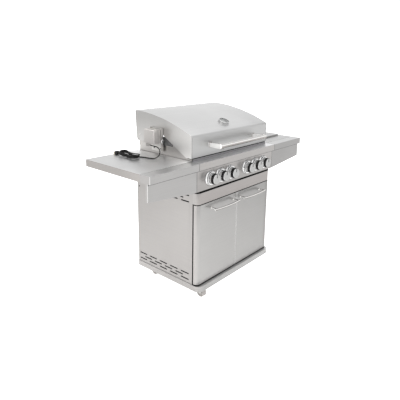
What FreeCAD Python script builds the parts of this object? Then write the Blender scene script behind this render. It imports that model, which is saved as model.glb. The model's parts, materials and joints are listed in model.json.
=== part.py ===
"""Gas barbecue grill on a two-door cabinet, in millimetres.

X is across the grill, Y runs from front to back, and Z is up from the floor.
The drawing's own Y zero is the face of the doors. Every node is moved by Y_SHIFT when it is
written, so that the origin is under the middle of the bounding box, on the floor.
"""
import FreeCAD, Part
import math
import os

V = FreeCAD.Vector
os.makedirs("parts", exist_ok=True)

# ---- driving dimensions -------------------------------------------------------------------
SHEET = 1.2                  # cabinet sheet
HALF_CABINET = 390.0         # cabinet half width
HALF_CONSOLE = 404.0         # control console half width
HALF_OVERALL = 785.0         # outer end of either side shelf
CABINET_BACK = 548.0
SIDE_FRONT = 42.0            # front edge of the side panels
DOOR_DEPTH = 32.0
CORNER_R = 25.0              # rounded vertical corners of doors and rail
MEETING_R = 3.0              # softer fold where the two doors meet

BASE_HALF, BASE_FRONT, BASE_R = 395.0, -22.0, 40.0
BASE_BOTTOM, BASE_TOP = 70.0, 106.0
DOOR_BOTTOM, DOOR_TOP = 110.0, 634.0
RAIL_BOTTOM, RAIL_TOP = 638.0, 708.0
PANEL_BOTTOM = 723.0
TRIM_BOTTOM, SHELF_TOP = 857.0, 900.0
TRIM_FRONT, PANEL_FRONT = -23.0, -4.0
TRIM_BACK, SHELF_BACK = 50.0, 536.0
APRON_END = 757.0            # bottom of the apron at the outer end of a shelf
SIDE_TOP = 897.0

LID_HALF, LID_SHEET = 396.0, 1.5
LID_FRONT, LID_BOTTOM, LID_FOLD, LID_TOP = 49.0, 916.0, 1050.0, 1160.0
LID_BACK, LID_BACK_LOW, LID_BACK_BOTTOM = 546.0, 534.0, 965.0
LID_PIVOT = (524.0, 975.0)   # Y, Z of the hinge pins
FOLD_R, TOP_R = 9.0, 12.0    # folded front edge, rounded back edge

FIRE_HALF, FIRE_WALL = 386.0, 1.5
FIRE_FRONT, FIRE_BACK = 56.0, 518.0
FIRE_BOTTOM, FIRE_TOP, FIRE_BACK_TOP = 760.0, 975.0, 957.0

KNOB_X = (-283.0, -187.0, -91.0, 91.0, 187.0, 283.0)
KNOB_Z = 789.0
SKIRT_R, GRIP_R, CAP_R = 33.4, 31.5, 31.0
KNOB_FACE, POINTER_FACE = -57.5, -58.4
BURNER_X = (-283.0, -91.0, 91.0, 283.0)
BURNER_Z = 796.0

HANDLE_Y, HANDLE_Z, HANDLE_R, HANDLE_END_R = -39.0, 980.0, 14.0, 17.5
HANDLE_HALF, HANDLE_ARM_X = 240.0, 230.0
DOOR_HANDLE_Z, DOOR_HANDLE_R = 592.0, 6.5
DOOR_HANDLE_IN, DOOR_HANDLE_OUT = 38.0, 262.0
DOOR_HANDLE_END, DOOR_HANDLE_MID = -40.0, -52.0     # Y of the bar at its ends and middle
DOOR_PIVOT = (377.0, 20.0)   # X (either side), Y of the door pins
PIN_R, PIN_PLAY = 3.0, 0.05

GAUGE_Y, GAUGE_R, GAUGE_DEPTH = 130.0, 36.0, 17.0
SPIT_Y, SPIT_Z = 330.0, 993.0

CASTER_X, CASTER_YS = 315.0, (51.0, 480.0)
WHEEL_R, WHEEL_W, TRAIL = 31.0, 24.0, 24.0

MOTOR = dict(x=(-471.0, -414.0), y=(289.0, 380.0), z=(977.0, 1063.0))
BRACKET_X, BRACKET_FLANGE = -398.0, -415.0

CORD_D = 6.5
CORD_ROUTE = [(-461, 330, 967), (-462, 297, 966.5), (-462, 264, 965), (-466, 238, 948),
              (-481, 230, 921), (-503, 244, 903.6), (-517, 274, 903.6), (-521, 310, 903.6),
              (-533, 345, 903.6), (-552, 376, 903.6)]
HANK_CENTRE, HANK_SIZE = (-578.0, 392.0), (66.0, 168.0, 46.0)

Y_SHIFT = -(CABINET_BACK + DOOR_HANDLE_MID - DOOR_HANDLE_R) / 2


# ---- helpers ------------------------------------------------------------------------------
def box(x0, x1, y0, y1, z0, z1):
    low = V(min(x0, x1), min(y0, y1), min(z0, z1))
    return Part.makeBox(abs(x1 - x0), abs(y1 - y0), abs(z1 - z0), low)


def rod(start, end, radius):
    """A cylinder between two points."""
    start, end = V(*start), V(*end)
    return Part.makeCylinder(radius, (end - start).Length, start, end - start)


def cone(start, end, r_start, r_end):
    start, end = V(*start), V(*end)
    return Part.makeCone(r_start, r_end, (end - start).Length, start, end - start)


def prism(points, direction):
    """A closed polygon pushed along a direction."""
    corners = [V(*p) for p in points]
    return Part.Face(Part.makePolygon(corners + corners[:1])).extrude(V(*direction))


def prism_x(outline, x0, x1):
    return prism([(x0, y, z) for y, z in outline], (x1 - x0, 0, 0))


def prism_y(outline, y0, y1):
    return prism([(x, y0, z) for x, z in outline], (0, y1 - y0, 0))


def join(shapes):
    """Fuse a list of shapes into one clean solid."""
    first, rest = shapes[0], list(shapes[1:])
    whole = first.multiFuse(rest) if rest else first
    return whole.removeSplitter()


def cut(shape, tools):
    return shape.cut(Part.makeCompound(list(tools))).removeSplitter()


def mirror_x(shape):
    return shape.mirror(V(0, 0, 0), V(1, 0, 0))


def fillet_corners(points, radii):
    """An outline in XY whose corners are rounded by tangent arcs; a radius of 0 stays sharp."""
    edges, starts, ends = [], [], []
    count = len(points)
    for i, point in enumerate(points):
        here = V(*point)
        before, after = V(*points[i - 1]), V(*points[(i + 1) % count])
        to_before = (before - here).normalize()
        to_after = (after - here).normalize()
        half = to_before.getAngle(to_after) / 2
        reach = radii[i] / math.tan(half) if radii[i] else 0.0
        starts.append(here + to_before * reach)
        ends.append(here + to_after * reach)
        if radii[i]:
            middle = (to_before + to_after).normalize()
            top = here + middle * (radii[i] / math.sin(half) - radii[i])
            edges.append(Part.Arc(starts[i], top, ends[i]).toShape())
        else:
            edges.append(None)
    loop = []
    for i in range(count):
        if edges[i] is not None:
            loop.append(edges[i])
        nxt = (i + 1) % count
        if (starts[nxt] - ends[i]).Length > 1e-6:
            loop.append(Part.LineSegment(ends[i], starts[nxt]).toShape())
    return Part.Face(Part.Wire(loop))


def rounded_plan(x0, x1, y0, y1, z0, z1, front_left, front_right, back=0.0):
    """An upright block with rounded vertical corners."""
    corners = [(x0, y0, z0), (x1, y0, z0), (x1, y1, z0), (x0, y1, z0)]
    face = fillet_corners(corners, [front_left, front_right, back, back])
    return face.extrude(V(0, 0, z1 - z0))


def front_pan(x0, x1, z0, z1, depth, left_r, right_r):
    """A folded sheet pan, open at the back, whose outer vertical edges are rounded."""
    t = SHEET
    outside = rounded_plan(x0, x1, 0, depth, z0, z1, left_r, right_r)
    inner_left = max(left_r - t, 0)
    inner_right = max(right_r - t, 0)
    inside = rounded_plan(x0 + t, x1 - t, t, depth + 5, z0 + t, z1 - t, inner_left, inner_right)
    return outside.cut(inside)


def slot(centre, length, height, along, through):
    """A round-ended slot, long in one axis, deep in another, as a cutting tool."""
    centre, along, through = V(*centre), V(*along), V(*through)
    reach = along * (length / 2 - height / 2)
    across = V(0, 0, height / 2)
    corners = [centre - through - reach - across, centre - through + reach - across,
               centre - through + reach + across, centre - through - reach + across]
    ends = [rod(centre + reach * s - through, centre + reach * s + through, height / 2) for s in (-1, 1)]
    return join([prism(corners, through * 2)] + ends)


def save(name, *shapes):
    """Write one node: one solid, or a group of separate solids."""
    solids = [solid for shape in shapes for solid in shape.Solids]
    node = solids[0].copy() if len(solids) == 1 else Part.makeCompound(solids)
    node.translate(V(0, Y_SHIFT, 0))
    for solid in node.Solids:
        if not solid.isValid() or solid.Volume < 1:
            print("BAD SOLID in", name)
    node.exportStep("parts/%s.step" % name)


# ---- cabinet ------------------------------------------------------------------------------
VENT_PITCH, VENT_LENGTH, VENT_HEIGHT, VENT_FRONT = 98.0, 68.0, 8.0, 104.0
LOW_VENTS = ((130.0, 5), (150.0, 4), (170.0, 5))          # height and number of slots of each row
HIGH_VENTS = ((645.0, 4), (665.0, 3), (685.0, 4))


def base_tray():
    """The plinth: a floor pan turned down at its rim, with four welded caster pads."""
    t = SHEET
    outside = rounded_plan(-BASE_HALF, BASE_HALF, BASE_FRONT, CABINET_BACK, BASE_BOTTOM, BASE_TOP,
                           BASE_R, BASE_R, 6)
    inside = rounded_plan(-BASE_HALF + t, BASE_HALF - t, BASE_FRONT + t, CABINET_BACK - t,
                          BASE_BOTTOM - 5, BASE_TOP - t, BASE_R - t, BASE_R - t, 6 - t)
    pads = []
    for x in (-CASTER_X, CASTER_X):
        for y in CASTER_YS:
            pads.append(box(x - 32, x + 32, y - 30, y + 30, BASE_TOP - t - 4, BASE_TOP - t))
    holes = []
    for side in (-1, 1):
        x = side * DOOR_PIVOT[0]
        holes.append(rod((x, DOOR_PIVOT[1], BASE_TOP - 6), (x, DOOR_PIVOT[1], BASE_TOP + 2),
                         PIN_R + PIN_PLAY))
    for x in (-CASTER_X, CASTER_X):
        for y in CASTER_YS:
            holes.append(rod((x, y, BASE_TOP - 8), (x, y, BASE_TOP + 2), 6 + PIN_PLAY))
    save("base_tray", cut(join([outside.cut(inside)] + pads), holes))


def side_panel(side):
    """One side of the cabinet with its rows of ventilation slots."""
    t = SHEET
    outer, inner = -HALF_CABINET, -HALF_CABINET + t
    wall = box(outer, inner, SIDE_FRONT, CABINET_BACK, BASE_TOP, SIDE_TOP)
    flange = box(outer, outer + 18, SIDE_FRONT, SIDE_FRONT + t, BASE_TOP, PANEL_BOTTOM - 4)
    rear = box(outer, outer + 14, CABINET_BACK - t, CABINET_BACK, BASE_TOP, SIDE_TOP)
    slots = []
    for rows in (LOW_VENTS, HIGH_VENTS):
        longest = rows[0][1]
        for z, count in rows:
            start = VENT_FRONT + (longest - count) * VENT_PITCH / 2
            for i in range(count):
                y = start + i * VENT_PITCH
                slots.append(slot((outer, y, z), VENT_LENGTH, VENT_HEIGHT, (0, 1, 0), (3, 0, 0)))
    panel = cut(join([wall, flange, rear]), slots)
    save("left_side_panel" if side < 0 else "right_side_panel",
         panel if side < 0 else mirror_x(panel))


def back_panel():
    """The cabinet's back sheet, with a window for the gas hose."""
    t = SHEET
    x = HALF_CABINET - t - 0.3
    back = CABINET_BACK - t - 0.3
    sheet = box(-x, x, back - t, back, BASE_TOP, 715)
    lip = box(-x, x, back - 20, back - t, 715 - t, 715)
    window = box(-150, 150, back - 5, back + 5, 180, 420)
    slots = [slot(((i - 2.5) * 100, back, 560 + row * 22), 60, VENT_HEIGHT, (1, 0, 0), (0, 3, 0))
             for row in range(3) for i in range(6)]
    save("back_panel", cut(join([sheet, lip]), [window] + slots))


def front_rail():
    """The fixed band above the doors, with the holes for the upper door pins."""
    rail = front_pan(-HALF_CABINET, HALF_CABINET, RAIL_BOTTOM, RAIL_TOP, SIDE_FRONT - 0.3,
                     CORNER_R, CORNER_R)
    holes = []
    for side in (-1, 1):
        x = side * DOOR_PIVOT[0]
        holes.append(rod((x, DOOR_PIVOT[1], RAIL_BOTTOM - 2), (x, DOOR_PIVOT[1], RAIL_BOTTOM + 4),
                         PIN_R + PIN_PLAY))
    save("front_rail", cut(rail, holes))


def door(side):
    """A pan door with a rounded outer edge, closed by an inner sheet, and its pin sockets."""
    left = front_pan(-HALF_CABINET, -1.5, DOOR_BOTTOM, DOOR_TOP, DOOR_DEPTH, CORNER_R, MEETING_R)
    x, y = -DOOR_PIVOT[0], DOOR_PIVOT[1]
    liner = box(-HALF_CABINET + 30, -1.5 - SHEET, DOOR_DEPTH - SHEET, DOOR_DEPTH,
                DOOR_BOTTOM + SHEET, DOOR_TOP - SHEET)
    stile = box(-HALF_CABINET + 30, -HALF_CABINET + 30 + SHEET, SHEET, DOOR_DEPTH,
                DOOR_BOTTOM + SHEET, DOOR_TOP - SHEET)
    sockets, holes = [], []
    for low, high in ((DOOR_BOTTOM, DOOR_BOTTOM + 14), (DOOR_TOP - 14, DOOR_TOP)):
        sockets.append(box(x - 8, x + 8, y - 8, y + 8, low + 0.1, high - 0.1))
        holes.append(rod((x, y, low - 2), (x, y, high + 2), PIN_R + PIN_PLAY))
    panel = cut(join([left, liner, stile] + sockets), holes)
    save("left_door" if side < 0 else "right_door", panel if side < 0 else mirror_x(panel))


def door_handle(side):
    """A bowed bar on two posts, welded as one piece."""
    z, r = DOOR_HANDLE_Z, DOOR_HANDLE_R
    x0, x1 = DOOR_HANDLE_IN - 14, DOOR_HANDLE_OUT + 14
    middle = (x0 + x1) / 2
    start, top, end = V(x0, DOOR_HANDLE_END, z), V(middle, DOOR_HANDLE_MID, z), V(x1, DOOR_HANDLE_END, z)
    arc = Part.Arc(start, top, end)
    spine = Part.Wire([arc.toShape()])
    tangent = arc.tangent(arc.FirstParameter)[0]
    ring = Part.Wire([Part.Circle(start, tangent, r).toShape()])
    bar = spine.makePipeShell([ring], True, True)
    posts = []
    for x in (DOOR_HANDLE_IN, DOOR_HANDLE_OUT):
        posts.append(rod((x, DOOR_HANDLE_END - 2, z), (x, 0, z), 5.5))
        posts.append(rod((x, -4, z), (x, 0, z), 9))
    right = join([bar] + posts)
    save("left_door_handle" if side < 0 else "right_door_handle",
         mirror_x(right) if side < 0 else right)


# ---- front console and side shelves -------------------------------------------------------
def fascia_strip(x0, x1, bottom_left, bottom_right):
    """Trim band, step and face of the front, between two X planes."""
    t = SHEET
    top = box(x0, x1, TRIM_FRONT, TRIM_BACK - 0.3, SHELF_TOP - t, SHELF_TOP)
    band = box(x0, x1, TRIM_FRONT, TRIM_FRONT + t, TRIM_BOTTOM, SHELF_TOP)
    step = box(x0, x1, TRIM_FRONT, PANEL_FRONT + t, TRIM_BOTTOM, TRIM_BOTTOM + t)
    outline = [(x0, bottom_left), (x1, bottom_right), (x1, TRIM_BOTTOM + t), (x0, TRIM_BOTTOM + t)]
    face = prism_y(outline, PANEL_FRONT, PANEL_FRONT + t)
    hem = prism_y([(x0, bottom_left), (x1, bottom_right), (x1, bottom_right + t),
                   (x0, bottom_left + t)], PANEL_FRONT, PANEL_FRONT + 14)
    return [top, band, step, face, hem]


def end_cap(x0, x1, bottom):
    """A closed end of the trim band, with the fold at the end of the face below it."""
    trim = box(x0, x1, TRIM_FRONT, TRIM_BACK - 0.3, TRIM_BOTTOM, SHELF_TOP)
    fold = box(x0, x1, PANEL_FRONT, PANEL_FRONT + 12, bottom, TRIM_BOTTOM + 1)
    return [trim, fold]


def control_console():
    """The control panel: the middle length of the front, with a hole for each valve stem."""
    t = SHEET
    parts = fascia_strip(-HALF_CONSOLE, HALF_CONSOLE, PANEL_BOTTOM, PANEL_BOTTOM)
    parts += [box(-HALF_CONSOLE, HALF_CONSOLE, PANEL_FRONT, 36, PANEL_BOTTOM, PANEL_BOTTOM + t)]
    for side in (-1, 1):
        parts += end_cap(side * HALF_CONSOLE, side * (HALF_CONSOLE - t), PANEL_BOTTOM)
    holes = [rod((x, PANEL_FRONT - 1, KNOB_Z), (x, PANEL_FRONT + 3, KNOB_Z), 7) for x in KNOB_X]
    notch = box(-FIRE_HALF - 2, FIRE_HALF + 2, 45.5, TRIM_BACK + 1, SHELF_TOP - 3, SHELF_TOP + 1)
    save("control_console", cut(join(parts), holes + [notch]))


def fascia(side):
    """The trim and tapered apron of one side shelf."""
    t = SHEET
    inner, outer = HALF_CONSOLE + 0.6, HALF_OVERALL
    parts = fascia_strip(inner, outer, PANEL_BOTTOM, APRON_END)
    parts += end_cap(outer - t, outer, APRON_END)
    right = join(parts)
    save("left_fascia" if side < 0 else "right_fascia", mirror_x(right) if side < 0 else right)


COVER = dict(x=(452.0, 745.0), y=(150.0, 482.0), z=(901.0, 913.0), pivot=(480.0, 908.0))
WELL = dict(x=(475.0, 722.0), y=(175.0, 455.0), z=862.0)


def shelf_pan():
    """A shelf tray on the right-hand side: top sheet, turned-down rims and two ribs."""
    t = SHEET
    x0, x1, y0, y1 = HALF_CABINET + 0.6, HALF_OVERALL, TRIM_BACK, SHELF_BACK
    top = box(x0, x1, y0, y1, SHELF_TOP - t, SHELF_TOP)
    rims = [box(x1 - t, x1, y0, y1, TRIM_BOTTOM, SHELF_TOP),
            box(x0, x1, y1 - t, y1, TRIM_BOTTOM, SHELF_TOP),
            box(x0, x0 + t, y0, y1, TRIM_BOTTOM, SHELF_TOP),
            box(x0, x1, y0, y0 + t, SHELF_TOP - 14, SHELF_TOP)]
    ribs = [box(x0, x1, y, y + t, SHELF_TOP - 24, SHELF_TOP) for y in (140, 500)]
    return [top] + rims + ribs


def left_shelf():
    save("left_shelf", mirror_x(join(shelf_pan())))


def right_shelf():
    """The side-burner shelf: a tray with a pressed well and the cover's two hinge lugs."""
    t = SHEET
    (x0, x1), (y0, y1), low = WELL["x"], WELL["y"], WELL["z"]
    hole = box(x0, x1, y0, y1, SHELF_TOP - 5, SHELF_TOP + 5)
    well = box(x0 - t, x1 + t, y0 - t, y1 + t, low, SHELF_TOP).cut(
        box(x0, x1, y0, y1, low + t, SHELF_TOP + 5))
    middle = ((x0 + x1) / 2, (y0 + y1) / 2)
    throat = rod((middle[0], middle[1], low - 2), (middle[0], middle[1], low + 5), 22)
    py, pz = COVER["pivot"]
    lugs = []
    for a in (COVER["x"][0] - 9.5, COVER["x"][1] + 1.5):
        lugs.append(box(a, a + 8, py - 7, py + 7, SHELF_TOP - 0.5, pz + 6))
    bores = [rod((COVER["x"][0] - 12, py, pz), (COVER["x"][1] + 12, py, pz), PIN_R + PIN_PLAY)]
    tray = join(shelf_pan()).cut(hole)
    save("right_shelf", cut(join([tray, well] + lugs), [throat] + bores))


def side_burner():
    """Burner head, pan support and hinged cover of the side burner."""
    x = sum(WELL["x"]) / 2
    y = sum(WELL["y"]) / 2
    z = WELL["z"] + SHEET
    head = [rod((x, y, z - 10), (x, y, z + 9), 20), cone((x, y, z + 9), (x, y, z + 15), 20, 46),
            rod((x, y, z + 15), (x, y, z + 21), 46), rod((x, y, z + 21), (x, y, z + 25), 34)]
    save("side_burner_head", join(head))

    top = SHELF_TOP - 2
    (x0, x1), (y0, y1) = WELL["x"], WELL["y"]
    bars = [box(x0 + 4, x0 + 11, y0 + 4, y1 - 4, top - 8, top),
            box(x1 - 11, x1 - 4, y0 + 4, y1 - 4, top - 8, top),
            box(x0 + 4, x1 - 4, y0 + 4, y0 + 11, top - 8, top),
            box(x0 + 4, x1 - 4, y1 - 11, y1 - 4, top - 8, top)]
    for i in range(-2, 3):
        bars.append(box(x + 40 * i - 3, x + 40 * i + 3, y0 + 4, y1 - 4, top - 7, top))
    bars.append(box(x0 + 4, x1 - 4, y - 3, y + 3, top - 7, top))
    for fx in (x0 + 4, x1 - 12):
        for fy in (y0 + 4, y1 - 12):
            bars.append(box(fx, fx + 8, fy, fy + 8, z, top))
    save("side_burner_grate", join(bars))

    t = SHEET
    (cx0, cx1), (cy0, cy1), (cz0, cz1) = COVER["x"], COVER["y"], COVER["z"]
    skin = rounded_plan(cx0, cx1, cy0, cy1, cz0, cz1, 14, 14, 3)
    hollow = rounded_plan(cx0 + t, cx1 - t, cy0 + t, cy1 - t, cz0 - 5, cz1 - t, 14 - t, 14 - t, 1)
    py, pz = COVER["pivot"]
    py_low = cy1 - 14
    cheeks = [box(cx0 + t, cx0 + 8, py_low, cy1 - t, cz0, cz1 - t),
              box(cx1 - 8, cx1 - t, py_low, cy1 - t, cz0, cz1 - t)]
    trims = [cheek.cut(box(cx0, cx1, py + 1.6, cy1 + 5, cz0 - 5, cz0)) for cheek in cheeks]
    stubs = [rod((cx0 - 9, py, pz), (cx0 + 6, py, pz), PIN_R),
             rod((cx1 - 6, py, pz), (cx1 + 9, py, pz), PIN_R)]
    save("side_burner_cover", join([skin.cut(hollow)] + trims + stubs))


# ---- firebox and what it holds ------------------------------------------------------------
def firebox():
    """Open-topped firebox whose sides rise to the back, with hinge and spit ears."""
    w = FIRE_WALL
    y0, y1 = FIRE_FRONT, FIRE_BACK
    py, pz = LID_PIVOT
    side = [(y0, FIRE_BOTTOM), (y0, 921), (90, 921), (183, FIRE_TOP), (y1 + 4, FIRE_TOP),
            (y1 + 4, 940), (y1, 930), (y1, FIRE_BOTTOM)]
    ear = [(SPIT_Y - 20, FIRE_TOP - 2), (SPIT_Y - 14, SPIT_Z + 3), (SPIT_Y + 14, SPIT_Z + 3),
           (SPIT_Y + 20, FIRE_TOP - 2)]
    a, b = -FIRE_HALF, -FIRE_HALF + w
    lug = rod((a, py, pz), (b, py, pz), 9)
    cheek = join([prism_x(side, a, b), prism_x(ear, a, b), lug])
    spit_slot = [rod((a - 2, SPIT_Y, SPIT_Z), (b + 2, SPIT_Y, SPIT_Z), 8.06),
                 box(a - 2, b + 2, SPIT_Y - 8.06, SPIT_Y + 8.06, SPIT_Z, SPIT_Z + 20)]
    pin_hole = rod((a - 2, py, pz), (b + 2, py, pz), PIN_R + PIN_PLAY)
    cheek = cut(cheek, spit_slot + [pin_hole])
    floor = box(-FIRE_HALF, FIRE_HALF, y0, y1, FIRE_BOTTOM, FIRE_BOTTOM + w).cut(
        box(-240, 240, 130, 440, FIRE_BOTTOM - 5, FIRE_BOTTOM + 5))
    front = box(-FIRE_HALF, FIRE_HALF, y0, y0 + w, FIRE_BOTTOM, 911)
    flange = box(-FIRE_HALF, FIRE_HALF, 46, y0, 911 - w, 911)
    riser = box(-FIRE_HALF, FIRE_HALF, 46, 46 + w, SHELF_TOP - 4, 911)
    back = box(-FIRE_HALF, FIRE_HALF, y1 - w, y1, FIRE_BOTTOM, FIRE_BACK_TOP)
    ledges = [box(-FIRE_HALF, FIRE_HALF, y0, y0 + 14, 878, 878 + w),
              box(-FIRE_HALF, FIRE_HALF, y1 - 30, y1, 878, 878 + w)]
    rails = []
    for s in (-1, 1):
        rails.append(box(s * 326, s * 327.5, 80, y1, 722, FIRE_BOTTOM + w))
        rails.append(box(s * 312, s * 327.5, 80, y1, 722, 723.5))
    holes = [rod((x, y0 - 5, BURNER_Z), (x, y0 + 5, BURNER_Z), 19) for x in BURNER_X]
    body = join([cheek, mirror_x(cheek), floor, front, flange, riser, back] + ledges + rails)
    save("firebox", cut(body, holes))


def burners():
    """Four tube burners with a wider venturi mouth, and the rear infrared burner."""
    tubes = []
    for x in BURNER_X:
        z = BURNER_Z
        tube = [rod((x, 42, z), (x, 80, z), 17), cone((x, 80, z), (x, 120, z), 17, 12.5),
                rod((x, 120, z), (x, 500, z), 12.5), box(x - 16, x + 16, 496, 500, z - 12, z + 12)]
        tubes.append(cut(join(tube), [rod((x, 38, z), (x, 70, z), 14)]))
    save("main_burners", *tubes)

    y1 = FIRE_BACK - FIRE_WALL
    case = box(-215, 215, y1 - 18, y1, 894, 954).cut(box(-200, 200, y1 - 20, y1 - 6, 902, 946))
    tiles = [box(-198 + 50 * i, -152 + 50 * i, y1 - 14, y1 - 5, 903, 945) for i in range(8)]
    save("rear_burner", join([case] + tiles))


def flame_tamers():
    tents = []
    for x in BURNER_X:
        outline = [(x - 62, 828), (x, 858), (x + 62, 828), (x + 62, 829.6), (x, 859.6), (x - 62, 829.6)]
        tents.append(prism_y(outline, 74, 500))
    save("flame_tamers", *tents)


def cooking_grates():
    """Three cast grates, each a frame with bars from front to back."""
    low, high = 879.8, 892.0
    width, gap = 252.0, 3.0
    grates = []
    for i in (-1, 0, 1):
        x0 = i * (width + gap) - width / 2
        x1 = x0 + width
        bars = [box(x0, x1, 60, 70, low, high), box(x0, x1, 488, 498, low, high),
                box(x0, x0 + 7, 60, 498, low, high), box(x1 - 7, x1, 60, 498, low, high)]
        count = 13
        for k in range(1, count):
            x = x0 + width * k / count
            bars.append(box(x - 3.5, x + 3.5, 60, 498, low + 2, high))
        bars.append(box(x0, x1, 275, 283, low, high - 3))
        grates.append(join(bars))
    save("cooking_grates", *grates)


def warming_rack():
    """A raised wire rack at the back, standing on two bent end frames."""
    z, half = 1036.0, 372.0
    ys = [412 + 13 * i for i in range(7)]
    wires = [rod((-half, y, z), (half, y, z), 2.2) for y in ys]
    for x in (-half, -124, 124, half):
        wires.append(box(x - 2, x + 2, ys[0] - 6, ys[-1] + 6, z - 5, z - 1))
    for x in (-half, half):
        for y in (ys[0], ys[-1]):
            wires.append(box(x - 2, x + 2, y - 2, y + 2, 968, z))
        wires.append(box(x - 2, x + 2, ys[0] - 2, ys[-1] + 2, 964, 968))
    save("warming_rack", join(wires))


def gas_train():
    """The manifold pipe and the six valves on it."""
    pipe = rod((-330, 26, 758), (330, 26, 758), 9.5).cut(rod((-340, 26, 758), (310, 26, 758), 7.5))
    inlet = rod((330, 26, 758), (352, 26, 758), 7)
    valves = []
    for x in KNOB_X:
        body = join([box(x - 12, x + 12, 9, 40, KNOB_Z - 13, KNOB_Z + 12),
                     rod((x, 26, 767.6), (x, 26, KNOB_Z - 13), 7),
                     rod((x, 5, KNOB_Z), (x, 9, KNOB_Z), 9), rod((x, 40, KNOB_Z), (x, 46, KNOB_Z), 4)])
        valves.append(cut(body, [rod((x, 0, KNOB_Z), (x, 22, KNOB_Z), 4 + PIN_PLAY)]))
    save("gas_manifold", join([pipe, inlet]), *valves)


def grease_tray():
    """The pull-out grease pan under the firebox."""
    t = 1.2
    pan = box(-318, 318, 84, 536, 724.2, 750).cut(box(-318 + t, 318 - t, 84 + t, 536 - t, 724.2 + t, 760))
    lip = box(-90, 90, 536 - t, 545.5, 748.8, 750)
    grip = box(-90, 90, 544.3, 545.5, 738, 750)
    save("grease_tray", join([pan, lip, grip]))


# ---- knobs --------------------------------------------------------------------------------
def knobs():
    """Six flared bezels fixed to the panel, and the knob and stem that turn in each."""
    rings = []
    for x in KNOB_X:
        flare = cone((x, PANEL_FRONT, KNOB_Z), (x, PANEL_FRONT - 16, KNOB_Z), 40, 37.5)
        bowl = cone((x, PANEL_FRONT - 3, KNOB_Z), (x, PANEL_FRONT - 16.5, KNOB_Z), 34.6, 35.6)
        rings.append(cut(flare, [bowl, rod((x, 0, KNOB_Z), (x, -20, KNOB_Z), 7)]))
    save("knob_bezels", *rings)
    for number, x in enumerate(KNOB_X, 1):
        z = KNOB_Z
        skirt = rod((x, PANEL_FRONT - 5, z), (x, -41, z), SKIRT_R)
        shoulder = cone((x, -41, z), (x, -43, z), SKIRT_R, GRIP_R)
        grip = rod((x, -43, z), (x, -54, z), GRIP_R)
        cap = cone((x, -54, z), (x, KNOB_FACE, z), CAP_R, CAP_R - 1.5)
        pointer = box(x - 2, x + 2, POINTER_FACE, KNOB_FACE + 1, z + 8, z + 27)
        stem = rod((x, PANEL_FRONT - 6, z), (x, 20, z), 4)
        save("knob_%d" % number, join([skirt, shoulder, grip, cap, pointer, stem]))


# ---- lid ----------------------------------------------------------------------------------
def lid_path():
    """The lid's outer line in the YZ plane: front, fold, curved top, back. Returns edges."""
    span = LID_BACK - LID_FRONT
    rise = LID_TOP - LID_FOLD
    chord = math.hypot(span, rise)
    sag = 25.0
    radius = chord * chord / (8 * sag) + sag / 2
    tilt = math.atan2(rise, span)
    middle = V(0, (LID_FRONT + LID_BACK) / 2, (LID_FOLD + LID_TOP) / 2)
    centre = middle + V(0, math.sin(tilt), -math.cos(tilt)) * (radius - sag)

    def on_top(y):
        return V(0, y, centre.z + math.sqrt(radius ** 2 - (y - centre.y) ** 2))

    corner_front, corner_back = on_top(LID_FRONT), on_top(LID_BACK)
    top_start, top_end = on_top(LID_FRONT + FOLD_R), on_top(LID_BACK - TOP_R)
    front_end = V(0, LID_FRONT, corner_front.z - FOLD_R)
    back_slope = (LID_BACK - LID_BACK_LOW) / (corner_back.z - LID_BACK_BOTTOM)
    back_start = V(0, LID_BACK - TOP_R * back_slope, corner_back.z - TOP_R)

    def through(corner, p, q):
        return (p + q) * 0.5 + (corner - (p + q) * 0.5) * 0.42

    edges = [Part.LineSegment(V(0, LID_FRONT, LID_BOTTOM), front_end).toShape(),
             Part.Arc(front_end, through(corner_front, front_end, top_start), top_start).toShape(),
             Part.Arc(top_start, on_top((LID_FRONT + LID_BACK) / 2), top_end).toShape(),
             Part.Arc(top_end, through(corner_back, top_end, back_start), back_start).toShape(),
             Part.LineSegment(back_start, V(0, LID_BACK_LOW, LID_BACK_BOTTOM)).toShape()]
    return edges, on_top, centre


def lid_shell():
    """The bent skin between two end panels whose lower edges leave the spit clear."""
    edges, on_top, centre = lid_path()
    lower = [V(0, LID_BACK_LOW, LID_BACK_BOTTOM), V(0, 480, LID_BACK_BOTTOM), V(0, 372, 1029),
             V(0, 290, 1029), V(0, 94, LID_BOTTOM), V(0, LID_FRONT, LID_BOTTOM)]
    lines = [Part.LineSegment(a, b).toShape() for a, b in zip(lower, lower[1:])]
    outline = Part.Face(Part.Wire(edges + lines))
    end = outline.copy()
    end.translate(V(-LID_HALF, 0, 0))
    end = end.extrude(V(LID_SHEET, 0, 0))
    py, pz = LID_PIVOT
    pin = rod((-LID_HALF - 5, py, pz), (-LID_HALF + 5, py, pz), PIN_R + PIN_PLAY)
    end = end.cut(pin)
    save("lid_left_end", end)
    save("lid_right_end", mirror_x(end))

    # the skin is the same outline as a solid, with the inside taken out by an inner outline
    half = LID_HALF - LID_SHEET
    solid = outline.copy()
    solid.translate(V(-half, 0, 0))
    solid = solid.extrude(V(2 * half, 0, 0))
    inner = Part.Wire(edges + [Part.LineSegment(V(0, LID_BACK_LOW, LID_BACK_BOTTOM),
                                                V(0, LID_FRONT, LID_BOTTOM)).toShape()])
    inner = Part.Face(inner.makeOffset2D(-LID_SHEET))
    inner.translate(V(-half - 1, 0, 0))
    hollow = inner.extrude(V(2 * half + 2, 0, 0))
    below = prism_x([(LID_FRONT + LID_SHEET, 900), (LID_FRONT + LID_SHEET, 930),
                     (LID_BACK_LOW - LID_SHEET - 1, 985), (LID_BACK_LOW - LID_SHEET + 1.2, 900)],
                    -half - 1, half + 1)
    notches = [box(s * 372, s * (half + 1), 500, 560, 950, 1000) for s in (-1, 1)]
    skin = solid.cut(hollow).cut(below)
    skin = cut(skin, notches)
    save("lid_skin", skin)
    return on_top, centre


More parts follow.
